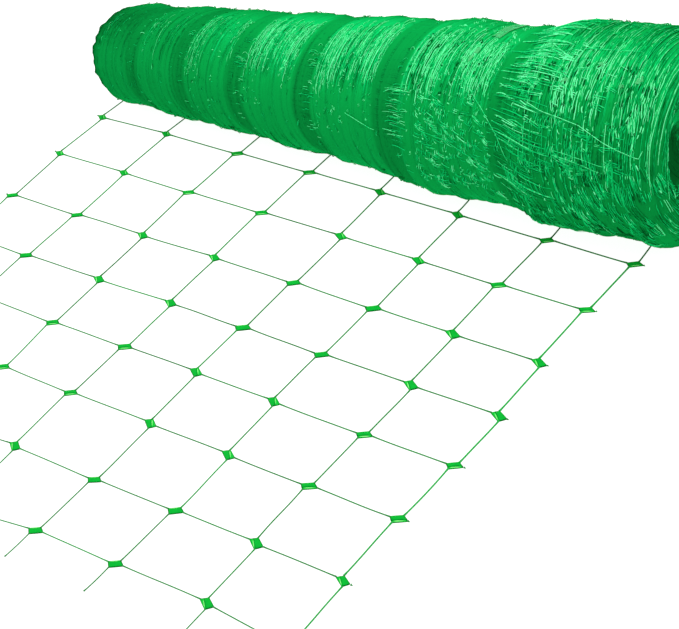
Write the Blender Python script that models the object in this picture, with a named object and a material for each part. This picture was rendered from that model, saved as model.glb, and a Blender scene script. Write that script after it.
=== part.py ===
"""Roll of trellis netting: a wound roll with its loose end drawn out flat in front of it.

Metres, +Z up. +X runs along the roll from its small end to its large end, and the loose end
lies towards -Y. The floor is z = 0, and the origin is under the middle of the whole thing.
"""
import math

import bmesh
import bpy
from mathutils import Matrix, Vector
from mathutils.bvhtree import BVHTree

# Mesh of the netting
COLUMNS = 8                 # strands that run along the netting's length
ROWS = 8                    # strands that run across it, counted from the roll
PITCH_ACROSS = 0.170        # between neighbouring columns
PITCH_ALONG = 0.150         # between neighbouring rows
TAIL = 0.48                 # cut tails past the last row, in pitches
STRAND_WIDTH = 0.0020
STRAND_THICKNESS = 0.0016
SELVAGE_STUB = 0.004        # drawn-out plastic beside the knots of the two edge strands

# How the loose end lies: it draws in towards its cut edge and lies a little askew. Each pair of
# rows of numbers gives x and y on the floor as 1, across, along, across squared, across times
# along and along squared, where across and along are a knot's even place from the middle
LIE_X = (0.008, 1.006, 0.017, -0.060, -0.142, 0.016)
LIE_Y = (-0.668, 0.003, -0.929, -0.016, 0.078, 0.084)
# How far each knot has strayed from there in x and y, in millimetres, row by row from the roll
STRAY = (
    ((-8, 8), (-8, 8), (4, 6), (5, 8), (-4, 7), (-5, 4), (6, 4), (2, 8)),
    ((-5, 8), (-1, 3), (-6, 0), (-3, 2), (8, 1), (6, -2), (-3, -1), (-7, 5)),
    ((2, -5), (3, -6), (-1, -8), (0, -8), (8, -8), (8, -8), (-1, -8), (-6, -8)),
    ((1, -3), (-7, -6), (8, -8), (8, -8), (0, -8), (-2, -8), (8, -8), (5, -8)),
    ((-6, 6), (-8, 6), (8, 0), (7, 2), (-2, 1), (-4, -2), (7, -1), (5, 4)),
    ((-3, 6), (-1, 2), (4, 8), (-4, 6), (7, 4), (5, 1), (-3, 2), (-5, 6)),
    ((1, -3), (2, -3), (-1, -5), (-4, 1), (6, -1), (5, 2), (-2, 2), (-5, 0)),
    ((0, 0), (-4, -4), (6, -5), (6, -8), (-7, 6), (-8, 7), (5, 7), (3, -6)),
)

# Knots, drawn square or flat. Offsets from the knot's middle to where each strand joins it:
# left and right along the row, back towards the roll and front towards the cut edge
KNOT_SHAPES = {
    "square": {"left": (-0.0150, 0.0028), "back": (-0.0040, 0.0115),
               "right": (0.0145, 0.0000), "front": (0.0050, -0.0105)},
    "flat": {"left": (-0.0135, -0.0020), "back": (0.0050, 0.0100),
             "right": (0.0160, 0.0025), "front": (-0.0045, -0.0112)},
}
KNOT_ROWS = ("ssffssff", "ssffssff", "ffssffss", "ffssffss",
             "ssffssff", "ssffssff", "ffssffss", "ffssffss")
KNOT_HEIGHT = 0.0040
KNOT_CROWN = 0.50           # size of the raised top against the knot's outline

# The wound roll: rings from the small end to the large end, each with its distance from the
# small end and its radius. A crown is the top of a bulge and a waist is the neck between two
RINGS = (
    ("crown", 0.055, 0.1120),
    ("waist", 0.136, 0.1120),
    ("crown", 0.214, 0.1205),
    ("waist", 0.281, 0.1195),
    ("crown", 0.362, 0.1280),
    ("waist", 0.440, 0.1270),
    ("crown", 0.530, 0.1370),
    ("waist", 0.622, 0.1370),
    ("crown", 0.740, 0.1500),
    ("waist", 0.826, 0.1500),
    ("crown", 0.900, 0.1605),
    ("crown", 1.000, 0.1615),
    ("waist", 1.068, 0.1610),
    ("crown", 1.140, 0.1770),
    ("crown", 1.223, 0.1805),
    ("crown", 1.296, 0.1830),
)
# End faces, from the rim to the middle: share of the end ring's radius, and how far the face
# stands outside that ring (or, below zero, is dished behind it)
SMALL_END = ((0.955, 0.031), (0.865, 0.051), (0.74, 0.061), (0.50, 0.059), (0.22, 0.051))
LARGE_END = ((0.965, 0.030), (0.885, 0.052), (0.78, 0.062), (0.68, 0.058),
             (0.56, 0.040), (0.36, 0.018), (0.16, 0.010))
ROLL_START = -0.6580        # x of the small end, with the middle of the netting at x = 0
ROLL_LINE = -0.0240         # y of the roll's axis at x = 0; the first row is about one pitch off
ROLL_SKEW = -0.0255         # slope of the roll's axis against x: its small end lies further back
# The rings lean: how far a point shifts along the roll for each metre that it lies behind the
# axis and for each metre above it, at the small end and at the large end
LEAN = ((0.26, -0.04), (0.11, -0.21))
STATION_STEP = 0.021        # spacing of the sections along the roll
SECTION_POINTS = 46         # points round each section, without its flat underside
FLAT_HALF_ANGLE = math.radians(10.5)    # half the arc that the flat underside replaces
SETTLE = 0.0022             # how far the crowns are pressed flat on the floor
WAIST_SHARPNESS = 0.72      # below 1 gives broad crowns and narrow waists
# Slow lumps of the wound form: lobes round the section, turns along the roll, and height
# as a share of the radius
LUMPS = ((2, 0.00, -0.010), (3, 1.30, 0.007), (5, -0.90, 0.005))
# Where the winding sags out low in front: distance from the small end, half length and height
SAGS = ((0.860, 0.085, 0.015), (1.115, 0.085, 0.016))
SAG_ANGLE = math.radians(236)       # from the top of a section, down its back and up to the sag
SAG_SPREAD = math.radians(34)

SEAT_GAP = 0.0004           # clearance between a strand's end and the roll's underside
SEAT_STEP = 0.0005          # step with which a strand is run in under the roll


def clear_scene():
    """Remove the objects that the file opened with."""
    for obj in list(bpy.data.objects):
        bpy.data.objects.remove(obj, do_unlink=True)


def plastic(name, colour, roughness):
    """Return a plain plastic material."""
    material = bpy.data.materials.new(name)
    material.use_nodes = True
    shader = material.node_tree.nodes["Principled BSDF"]
    shader.inputs["Base Color"].default_value = (*colour, 1.0)
    shader.inputs["Roughness"].default_value = roughness
    shader.inputs["Metallic"].default_value = 0.0
    return material


def add_object(name, mesh_data, material):
    """Turn a bmesh into a named object with its material."""
    bmesh.ops.recalc_face_normals(mesh_data, faces=mesh_data.faces)
    mesh = bpy.data.meshes.new(name)
    mesh_data.to_mesh(mesh)
    mesh_data.free()
    mesh.materials.append(material)
    obj = bpy.data.objects.new(name, mesh)
    bpy.context.collection.objects.link(obj)
    return obj


def between(distance, rings):
    """Return the ring before a distance, the ring after it, and the share of the way there."""
    for before, after in zip(rings, rings[1:]):
        if distance <= after[1]:
            return before, after, max(0.0, (distance - before[1]) / (after[1] - before[1]))
    return rings[-2], rings[-1], 1.0


def ring_radius(distance):
    """Return the roll's radius at a distance from its small end."""
    before, after, share = between(distance, RINGS)
    if before[0] == after[0]:
        rise = share
    elif before[0] == "waist":
        rise = math.sin(share * math.pi / 2) ** (2 * WAIST_SHARPNESS)
    else:
        rise = 1 - math.cos(share * math.pi / 2) ** (2 * WAIST_SHARPNESS)
    return before[2] + (after[2] - before[2]) * rise


def crown_radius(distance):
    """Return the radius of the smooth envelope that touches every crown."""
    crowns = [ring for ring in RINGS if ring[0] == "crown"]
    before, after, share = between(distance, crowns)
    return before[2] + (after[2] - before[2]) * share


def stations():
    """Return (x, radius, envelope radius) of each section, from end to end."""
    first, last = RINGS[0], RINGS[-1]
    rows = [(ROLL_START + first[1] - stand, first[2] * share, first[2])
            for share, stand in reversed(SMALL_END)]
    count = round((last[1] - first[1]) / STATION_STEP)
    for step in range(count + 1):
        distance = first[1] + (last[1] - first[1]) * step / count
        rows.append((ROLL_START + distance, ring_radius(distance), crown_radius(distance)))
    rows += [(ROLL_START + last[1] + stand, last[2] * share, last[2])
             for share, stand in LARGE_END]
    return rows


def roll_line(x):
    """Return y of the roll's axis at x."""
    return ROLL_LINE + ROLL_SKEW * x


def lean(x, behind, above):
    """Return how far along the roll a point shifts that lies off the axis."""
    share = (x - ROLL_START) / RINGS[-1][1]
    small, large = LEAN
    return sum((start + (end - start) * share) * offset
               for start, end, offset in zip(small, large, (behind, above)))


def sag(distance, angle):
    """Return how far the winding sags out at an angle from the top of a section."""
    across = math.exp(-((angle - SAG_ANGLE) / SAG_SPREAD) ** 2)
    return sum(height * across * math.exp(-((distance - middle) / length) ** 2)
               for middle, length, height in SAGS)


def section(x, radius, envelope):
    """Return the points round one leaning section: a lumpy circle with a flat underside."""
    centre_height = envelope * math.cos(FLAT_HALF_ANGLE) - SETTLE
    points = []
    for step in range(SECTION_POINTS):
        share = step / (SECTION_POINTS - 1)
        angle = math.pi + FLAT_HALF_ANGLE + share * 2 * (math.pi - FLAT_HALF_ANGLE)
        above = (1 + math.cos(angle)) / 2
        lump = sum(height * math.cos(lobes * angle + turns * math.tau * x)
                   for lobes, turns, height in LUMPS)
        reach = radius * (1 + above * lump + sag(x - ROLL_START, angle) / envelope)
        behind, up = reach * math.sin(angle), reach * math.cos(angle)
        points.append(Vector((x + lean(x, behind, up), roll_line(x) + behind,
                              max(0.0, centre_height + up))))
    points.append((points[0] + points[-1]) / 2)
    return points


def make_roll(material):
    """Build the wound roll as one closed turned form."""
    shape = bmesh.new()
    loops = [[shape.verts.new(point) for point in section(*row)] for row in stations()]
    for here, there in zip(loops, loops[1:]):
        for index in range(len(here)):
            after = (index + 1) % len(here)
            shape.faces.new((here[index], here[after], there[after], there[index]))
    for loop in (loops[0], loops[-1]):
        middle = shape.verts.new(sum((vert.co for vert in loop), Vector()) / len(loop))
        for index, vert in enumerate(loop):
            shape.faces.new((vert, loop[(index + 1) % len(loop)], middle))
    bmesh.ops.triangulate(shape, faces=shape.faces)
    obj = add_object("wound_roll", shape, material)
    obj.data.shade_smooth()
    return obj


def knot_place(column, row):
    """Return the floor position of a knot; row 1 is the first one in front of the roll."""
    across = (column - (COLUMNS - 1) / 2) * PITCH_ACROSS
    along = (row - (ROWS + 1) / 2) * PITCH_ALONG
    terms = (1.0, across, along, across ** 2, across * along, along ** 2)
    stray_x, stray_y = STRAY[row - 1][column]
    return Vector((sum(share * term for share, term in zip(LIE_X, terms)) + stray_x / 1000,
                   sum(share * term for share, term in zip(LIE_Y, terms)) + stray_y / 1000, 0.0))


def knot_ports(column, row):
    """Return where the four strands join a knot, by side."""
    kind = "square" if KNOT_ROWS[row - 1][column] == "s" else "flat"
    place = knot_place(column, row)
    return {side: place + Vector((*offset, 0.0)) for side, offset in KNOT_SHAPES[kind].items()}


def strand_section(shape, place, direction):
    """Add the four corners of a strand's section: bottom left, bottom right, top right, top left."""
    side = Vector((-direction.y, direction.x, 0.0)) * STRAND_WIDTH / 2
    top = Vector((0.0, 0.0, STRAND_THICKNESS))
    return [shape.verts.new(point) for point in
            (place + side, place - side, place - side + top, place + side + top)]


def strand_walls(shape, here, there):
    """Join two sections of a strand by its four walls."""
    for index in range(4):
        after = (index + 1) % 4
        shape.faces.new((here[index], here[after], there[after], there[index]))


def knot_body(shape, ports, place):
    """Close a knot between its four strand sections, given in order round the knot.

    Each section faces out of the knot, so its right corners come before its left corners
    on the way round.
    """
    bottom, rim = [], []
    for corners in ports:
        bottom += [corners[1], corners[0]]
        rim += [corners[2], corners[3]]
    crown = [shape.verts.new(place.lerp(Vector((vert.co.x, vert.co.y, 0.0)), KNOT_CROWN)
                             + Vector((0.0, 0.0, KNOT_HEIGHT))) for vert in rim]
    shape.faces.new(bottom)
    shape.faces.new(crown)
    count = len(rim)
    for index in range(count):
        after = (index + 1) % count
        shape.faces.new((rim[index], rim[after], crown[after], crown[index]))
        if index % 2:
            shape.faces.new((bottom[index], bottom[after], rim[after], rim[index]))


def run_under(roll_tree, port):
    """Return how far in under the roll a column's strand can run from its last knot."""
    place = port.copy()

    def clear_above(y):
        """Say whether the roll's underside clears the strand's top at this y."""
        for x in (port.x - STRAND_WIDTH / 2, port.x + STRAND_WIDTH / 2):
            hit = roll_tree.ray_cast(Vector((x, y, -SEAT_GAP)), Vector((0.0, 0.0, 1.0)))[0]
            if hit is not None and hit.z < STRAND_THICKNESS + SEAT_GAP:
                return False
        return True

    while place.y + SEAT_STEP < roll_line(port.x) and clear_above(place.y + SEAT_STEP):
        place.y += SEAT_STEP
    return place


def make_loose_net(material, roll):
    """Build the loose end: knots, the strands between them, and the cut tails, as one body."""
    shape = bmesh.new()
    roll_tree = BVHTree.FromPolygons([vert.co for vert in roll.data.vertices],
                                     [tuple(face.vertices) for face in roll.data.polygons])
    steps = {"right": (1, 0), "back": (0, -1), "left": (-1, 0), "front": (0, 1)}
    opposite = {"right": "left", "back": "front", "left": "right", "front": "back"}
    ports = {(column, row): knot_ports(column, row)
             for column in range(COLUMNS) for row in range(1, ROWS + 1)}
    free_ends = {}
    for (column, row), sides in ports.items():
        if row == 1:
            free_ends[column, row, "back"] = run_under(roll_tree, sides["back"])
        if row == ROWS:
            last = knot_place(column, row)
            free_ends[column, row, "front"] = last + (last - knot_place(column, row - 1)) * TAIL
        for edge_column, side, sign in ((0, "left", -1), (COLUMNS - 1, "right", 1)):
            if column == edge_column:
                stub = Vector((sign * SELVAGE_STUB, 0.0, 0.0))
                free_ends[column, row, side] = sides[side] + stub

    sections = {}
    for (column, row), sides in ports.items():
        ring = []
        for side, (step_across, step_along) in steps.items():
            far = free_ends.get((column, row, side))
            if far is None:
                far = ports[column + step_across, row + step_along][opposite[side]]
            direction = (far - sides[side]).normalized()
            corners = strand_section(shape, sides[side], direction)
            sections[column, row, side] = corners
            ring.append(corners)
            if (column, row, side) in free_ends:
                tip = strand_section(shape, far, direction)
                strand_walls(shape, corners, tip)
                shape.faces.new(tip)
        knot_body(shape, ring, knot_place(column, row))

    for (column, row), sides in ports.items():
        for side in ("right", "front"):
            if (column, row, side) in free_ends:
                continue
            step_across, step_along = steps[side]
            far = sections[column + step_across, row + step_along, opposite[side]]
            near = sections[column, row, side]
            strand_walls(shape, near, [far[1], far[0], far[3], far[2]])
    return add_object("loose_net", shape, material)


def centre_over_origin(objects):
    """Move all the objects together, so that the origin is under the middle of their box."""
    corners = [vert.co for obj in objects for vert in obj.data.vertices]
    middle = Vector()
    for axis in (0, 1):
        reach = [point[axis] for point in corners]
        middle[axis] = (min(reach) + max(reach)) / 2
    for obj in objects:
        obj.data.transform(Matrix.Translation(-middle))
    return middle


def main():
    """Build the roll and its loose end."""
    clear_scene()
    roll = make_roll(plastic("wound_plastic", (0.000, 0.270, 0.070), 0.35))
    loose_net = make_loose_net(plastic("net_plastic", (0.010, 0.420, 0.040), 0.40), roll)
    middle = centre_over_origin((roll, loose_net))
    print("middle of the box before centring: x %.4f, y %.4f" % (middle.x, middle.y))


if __name__ == "__main__":
    main()
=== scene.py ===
"""Looks of a roll of trellis netting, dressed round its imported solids.

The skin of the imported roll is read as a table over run, the distance along the roll from its small
end, and angle, in degrees round the roll: 90 is up and 180 faces the loose end. Every strand is a
route on that skin. Geometry Nodes sweep the routes into strands of plastic and set the drawn knots
on the crossings of the netting. Metres throughout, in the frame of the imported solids.
"""

import logging
import math
from dataclasses import dataclass, field
from enum import Enum
from typing import Any, ClassVar, Dict, List, Optional, Sequence, Tuple, Union

import bpy
import numpy as np
from mathutils import Matrix, Vector
from mathutils.bvhtree import BVHTree


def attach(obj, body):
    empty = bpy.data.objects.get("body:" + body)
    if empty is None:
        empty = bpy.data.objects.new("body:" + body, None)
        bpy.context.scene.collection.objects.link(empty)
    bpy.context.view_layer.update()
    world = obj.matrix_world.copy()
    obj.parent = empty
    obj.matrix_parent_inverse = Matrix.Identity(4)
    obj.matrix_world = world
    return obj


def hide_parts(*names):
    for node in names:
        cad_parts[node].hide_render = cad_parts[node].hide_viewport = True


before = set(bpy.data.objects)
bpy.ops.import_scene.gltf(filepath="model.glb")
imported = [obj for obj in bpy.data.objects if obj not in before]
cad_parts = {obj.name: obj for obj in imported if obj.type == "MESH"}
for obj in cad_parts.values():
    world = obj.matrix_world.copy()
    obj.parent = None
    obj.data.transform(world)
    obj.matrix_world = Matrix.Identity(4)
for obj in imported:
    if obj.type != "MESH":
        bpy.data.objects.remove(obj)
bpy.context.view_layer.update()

Pair = Tuple[float, float]
Triple = Tuple[float, float, float]
Colour = Triple
Numbers = Union[float, np.ndarray]
Operand = Union["Socket", float]

TINT = "tint"                   # attribute: -1 is deep, 0 the body colour, 1 light and 2 pale; besides the plastic's own tone it carries painted light, shade and highlights
GAUGE = "gauge"                 # attribute: half the width of a strand
GRAIN = "grain"                 # attribute: run, y and z, so that streaks follow the winding
LOG = logging.getLogger("trellis_netting")


class Slot(Enum):
    """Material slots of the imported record."""

    WOUND = "wound_plastic"
    NET = "net_plastic"


class Solid(Enum):
    """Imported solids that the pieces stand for."""

    ROLL = "wound_roll"
    NET = "loose_net"


class KnotKind(Enum):
    """How a knot was drawn out in making: over four corners, or into a slanting lozenge."""

    SQUARE = "s"
    FLAT = "f"


class Socket:
    """An output socket that arithmetic can be written with."""

    def __init__(self, graph: "Graph", socket: bpy.types.NodeSocket) -> None:
        """Keep the socket and the graph that it belongs to."""
        self.graph = graph
        self.socket = socket

    def _math(self, operation: str, left: Operand, right: Operand) -> "Socket":
        """Add one Math node.

        Args:
            operation: Name of the node's operation.
            left: First operand.
            right: Second operand.

        Returns:
            The node's result.
        """
        return self.graph.node("ShaderNodeMath", {"operation": operation}, {0: left, 1: right})

    def __add__(self, other: Operand) -> "Socket":
        """Return self + other."""
        return self._math("ADD", self, other)

    def __sub__(self, other: Operand) -> "Socket":
        """Return self - other."""
        return self._math("SUBTRACT", self, other)

    def __mul__(self, other: Operand) -> "Socket":
        """Return self * other."""
        return self._math("MULTIPLY", self, other)


class Graph:
    """A node tree that is written as expressions."""

    def __init__(self, tree: bpy.types.NodeTree) -> None:
        """Keep the tree and empty it."""
        self.tree = tree
        tree.nodes.clear()

    def node(self, kind: str, settings: Optional[Dict[str, Any]] = None,
             inputs: Optional[Dict[Union[str, int], Any]] = None,
             output: Union[str, int] = 0) -> Socket:
        """Add any node.

        Args:
            kind: Blender's name of the node's type.
            settings: The node's own settings, set first; "stops" are a ramp's (place, colour).
            inputs: Values or sockets, by the name or number of the input.
            output: Name or number of the output that is returned.

        Returns:
            The chosen output, or a socket without one where the node has none.
        """
        made = self.tree.nodes.new(kind)
        for name, value in (settings or {}).items():
            if name == "stops":
                ramp = made.color_ramp.elements
                while len(ramp) < len(value):
                    ramp.new(1.0)
                for stop, (place, colour) in zip(ramp, value):
                    stop.position, stop.color = place, (*colour, 1.0)
            else:
                setattr(made, name, value)
        for key, value in (inputs or {}).items():
            if isinstance(value, Socket):
                self.tree.links.new(value.socket, made.inputs[key])
            else:
                made.inputs[key].default_value = value
        return Socket(self, made.outputs[output] if len(made.outputs) else None)

    def attribute(self, name: str) -> Socket:
        """Return a number that is stored on the mesh, for a shader."""
        return self.node("ShaderNodeAttribute", {"attribute_name": name}, output="Fac")

    def noise(self, place: Socket, scale: float, detail: float = 2.0) -> Socket:
        """Return noise from 0 to 1 at a place."""
        return self.node("ShaderNodeTexNoise", {},
                         {"Vector": place, "Scale": scale, "Detail": detail})


def new_material(name: str) -> Tuple[bpy.types.Material, Graph]:
    """Make an empty material and return it with its graph."""
    material = bpy.data.materials.new(name)
    material.use_nodes = True
    return material, Graph(material.node_tree)


@dataclass(frozen=True)
class Plastic:
    """Drawn plastic whose shade follows the tint that is stored on its mesh."""

    name: str
    deep: Colour
    body: Colour
    light: Colour
    pale: Colour
    specular_tint: Colour = (0.02, 1.00, 0.45)
    specular_level: float = 0.02
    roughness: float = 0.34
    roughness_reach: float = 0.16
    mottle_scale: float = 24.0
    mottle_reach: float = 0.45
    streaks: Triple = (420.0, 16.0, 16.0)
    streak_reach: float = 0.35
    grained: bool = False           # whether streaks follow the stored grain
    flecks: Triple = (300.0, 130.0, 130.0)
    fleck_reach: float = 0.0        # how much flecks break up what is light
    bump_depth: float = 0.0004
    alpha: float = 1.0

    def build(self) -> bpy.types.Material:
        """Make the material.

        Returns:
            A material whose colour runs from deep to pale with the tint.
        """
        material, graph = new_material(self.name)
        place = graph.node("ShaderNodeTexCoord", output="Object")
        grain = (graph.node("ShaderNodeAttribute", {"attribute_name": GRAIN}, output="Vector")
                 if self.grained else place)
        drawn = graph.node("ShaderNodeMapping", {}, {"Vector": grain, "Scale": self.streaks})
        mottle = graph.noise(place, self.mottle_scale)
        streak = graph.noise(drawn, 1.0, 3.0)
        fleck = graph.noise(graph.node("ShaderNodeMapping", {}, {
            "Vector": place, "Scale": self.flecks}), 1.0)
        tint = (graph.attribute(TINT) * ((fleck - 0.5) * self.fleck_reach + 1.0)
                + (mottle - 0.5) * self.mottle_reach + (streak - 0.5) * self.streak_reach)
        stops = [(step / 3, shade) for step, shade in
                 enumerate((self.deep, self.body, self.light, self.pale))]
        colour = graph.node("ShaderNodeValToRGB", {"stops": stops}, {0: tint * (1 / 3) + 1 / 3})
        roughness = (streak - 0.5) * self.roughness_reach + self.roughness
        relief = graph.node("ShaderNodeBump", {}, {"Height": streak, "Strength": 0.6,
                                                   "Distance": self.bump_depth})
        shader = graph.node("ShaderNodeBsdfPrincipled", {}, {
            "Base Color": colour, "Roughness": roughness, "Normal": relief,
            "Specular IOR Level": self.specular_level, "Alpha": self.alpha,
            "Specular Tint": (*self.specular_tint, 1.0)})
        graph.node("ShaderNodeOutputMaterial", {}, {"Surface": shader})
        return material


@dataclass(frozen=True)
class FloorPaint:
    """Matt floor that is lit from below to near white, with the faintest cloudiness."""

    name: str = "studio_floor"
    low: Colour = (0.24, 0.24, 0.24)
    high: Colour = (0.27, 0.27, 0.27)
    scale: float = 1.5
    roughness: float = 0.9
    glow: float = 0.94              # it is a light table, lit from below

    def build(self) -> bpy.types.Material:
        """Make the material and return it."""
        material, graph = new_material(self.name)
        cloud = graph.noise(graph.node("ShaderNodeTexCoord", output="Object"), self.scale)
        colour = graph.node("ShaderNodeValToRGB", {"stops": [(0.0, self.low), (1.0, self.high)]},
                            {0: cloud})
        shader = graph.node("ShaderNodeBsdfPrincipled", {}, {
            "Base Color": colour, "Roughness": self.roughness, "Specular IOR Level": 0.1,
            "Emission Color": (1.0, 1.0, 1.0, 1.0), "Emission Strength": self.glow})
        graph.node("ShaderNodeOutputMaterial", {}, {"Surface": shader})
        return material


WOUND_PLASTIC = Plastic("wound_strands", (0.001, 0.100, 0.016), (0.002, 0.300, 0.056),
                        (0.004, 0.620, 0.160), (0.140, 0.900, 0.380), specular_level=0.0,
                        fleck_reach=2.0)
BODY_PLASTIC = Plastic("wound_body", (0.001, 0.090, 0.014), (0.002, 0.290, 0.051),
                       (0.004, 0.640, 0.150), (0.060, 0.860, 0.280), specular_level=0.0,
                       roughness=0.42, mottle_scale=14.0, mottle_reach=0.3, grained=True,
                       fleck_reach=0.5)
FILM_PLASTIC = Plastic("film_scraps", (0.060, 0.450, 0.150), (0.080, 0.520, 0.180),
                       (0.110, 0.600, 0.220), (0.280, 0.760, 0.380), roughness=0.55,
                       mottle_scale=160.0, mottle_reach=1.0, streaks=(300.0, 300.0, 300.0),
                       alpha=0.5)
NET_PLASTIC = Plastic("net_strands", (0.014, 0.110, 0.024), (0.028, 0.225, 0.046),
                      (0.020, 0.360, 0.060), (0.200, 0.600, 0.200), mottle_reach=0.3,
                      streaks=(60.0, 60.0, 60.0), streak_reach=0.2)
KNOT_PLASTIC = Plastic("net_knots", (0.000, 0.120, 0.010), (0.004, 0.400, 0.030),
                       (0.030, 0.600, 0.060), (0.420, 0.880, 0.360), mottle_scale=140.0,
                       mottle_reach=0.5, streaks=(500.0, 500.0, 500.0), bump_depth=0.0003)


def link(mesh: bpy.types.Mesh, name: str) -> bpy.types.Object:
    """Put a mesh in the scene under a name and return its object."""
    obj = bpy.data.objects.new(name, mesh)
    bpy.context.scene.collection.objects.link(obj)
    return obj


def store(mesh: bpy.types.Mesh, name: str, values: np.ndarray, kind: str = "FLOAT") -> None:
    """Store one value for each point of a mesh.

    Args:
        mesh: The mesh.
        name: Name of the attribute.
        values: One value, or one vector, for each point.
        kind: Blender's type of the attribute.
    """
    field_name = "vector" if kind == "FLOAT_VECTOR" else "value"
    number = np.int32 if kind == "INT" else np.float32
    data = mesh.attributes.new(name, kind, "POINT").data
    data.foreach_set(field_name, np.ascontiguousarray(values, number).ravel())


def tinted_mesh(name: str, points: List[np.ndarray], faces: List[Tuple[int, ...]],
                tints: List[np.ndarray]) -> bpy.types.Mesh:
    """Make a mesh with its tint stored.

    Args:
        name: Name of the mesh.
        points: Tables of its points.
        faces: The points of each face, in an order that faces outwards.
        tints: Tables of its points' tints.

    Returns:
        The mesh.
    """
    mesh = bpy.data.meshes.new(name)
    mesh.from_pydata(np.concatenate(points).tolist(), [], faces)
    store(mesh, TINT, np.concatenate(tints))
    return mesh


def ring_pairs(count: int) -> List[Tuple[int, int]]:
    """Return each place round a ring with the one after it."""
    return [(index, (index + 1) % count) for index in range(count)]


def settle(piece: bpy.types.Object, solid: Optional[Solid] = None) -> None:
    """Let a finished piece ride on the part, and report it.

    Args:
        piece: The finished piece.
        solid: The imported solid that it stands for, if it does.
    """
    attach(piece, "root")
    if solid is not None:
        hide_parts(solid.value)
    piece.data.calc_loop_triangles()
    LOG.info("%s: %d triangles", piece.name, len(piece.data.loop_triangles))


@dataclass
class Strands:
    """Routes of one piece's strands: chains of points with a gauge and a tint at each."""

    points: List[np.ndarray] = field(default_factory=list)
    gauges: List[np.ndarray] = field(default_factory=list)
    tints: List[np.ndarray] = field(default_factory=list)

    def add(self, points: np.ndarray, gauge: Numbers, tint: Numbers) -> None:
        """Keep one strand.

        Args:
            points: Its points in order.
            gauge: Half its width, for all or for each point.
            tint: Its tint, for all or for each point.
        """
        self.points.append(points)
        self.gauges.append(np.broadcast_to(gauge, len(points)))
        self.tints.append(np.broadcast_to(tint, len(points)))

    def source(self, name: str) -> bpy.types.Object:
        """Make the chains of edges that the sweep takes.

        Args:
            name: Name of the object.

        Returns:
            An object with one chain of edges for each strand.
        """
        counts = [len(points) for points in self.points]
        starts = np.concatenate([[0], np.cumsum(counts)[:-1]])
        edges = np.concatenate([np.stack([np.arange(start, start + count - 1),
                                          np.arange(start + 1, start + count)], axis=1)
                                for start, count in zip(starts, counts)])
        mesh = bpy.data.meshes.new(name)
        mesh.from_pydata(np.concatenate(self.points).tolist(), edges.tolist(), [])
        store(mesh, GAUGE, np.concatenate(self.gauges))
        store(mesh, TINT, np.concatenate(self.tints))
        return link(mesh, name)


class GeometryTool:
    """A Geometry Nodes group that turns a source mesh into a finished plain mesh."""

    def __init__(self, name: str, inputs: Sequence[Tuple[str, str]]) -> None:
        """Make the group's sockets.

        Args:
            name: Name of the group.
            inputs: Label and socket type of each named input after the geometry.
        """
        self.tree = bpy.data.node_groups.new(name, "GeometryNodeTree")
        self.graph = Graph(self.tree)
        self.keys: Dict[str, str] = {}
        self.tree.interface.new_socket("Geometry", in_out="INPUT",
                                       socket_type="NodeSocketGeometry")
        for label, kind in inputs:
            socket = self.tree.interface.new_socket(label, in_out="INPUT", socket_type=kind)
            self.keys[label] = socket.identifier
        self.tree.interface.new_socket("Geometry", in_out="OUTPUT",
                                       socket_type="NodeSocketGeometry")
        self.entry = self.tree.nodes.new("NodeGroupInput")

    def given(self, label: str) -> Socket:
        """Return a named input of the group."""
        return Socket(self.graph, self.entry.outputs[label])

    def stored(self, name: str, kind: str = "FLOAT") -> Socket:
        """Return what is stored on each point under a name."""
        return self.graph.node("GeometryNodeInputNamedAttribute", {"data_type": kind},
                               {"Name": name})

    def close(self, geometry: Socket) -> None:
        """End the group: smooth, made real, and given its finish.

        Args:
            geometry: What the group has made.
        """
        smooth = self.graph.node("GeometryNodeSetShadeSmooth", {}, {"Geometry": geometry})
        real = self.graph.node("GeometryNodeRealizeInstances", {}, {"Geometry": smooth})
        dressed = self.graph.node("GeometryNodeSetMaterial", {}, {
            "Geometry": real, "Material": self.given("Finish")})
        self.graph.node("NodeGroupOutput", {}, {0: dressed})

    def run(self, source: bpy.types.Object, values: Dict[str, Any]) -> bpy.types.Object:
        """Turn a source object into the finished piece.

        Args:
            source: The object whose mesh the group takes.
            values: The value of each named input.

        Returns:
            The same object with the result as its plain mesh.
        """
        modifier = source.modifiers.new(self.tree.name, "NODES")
        modifier.node_group = self.tree
        for label, value in values.items():
            modifier[self.keys[label]] = value
        evaluated = source.evaluated_get(bpy.context.evaluated_depsgraph_get())
        made = bpy.data.meshes.new_from_object(evaluated)
        source.modifiers.remove(modifier)
        spent, source.data = source.data, made
        bpy.data.meshes.remove(spent)
        made.name = source.name
        return source


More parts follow.
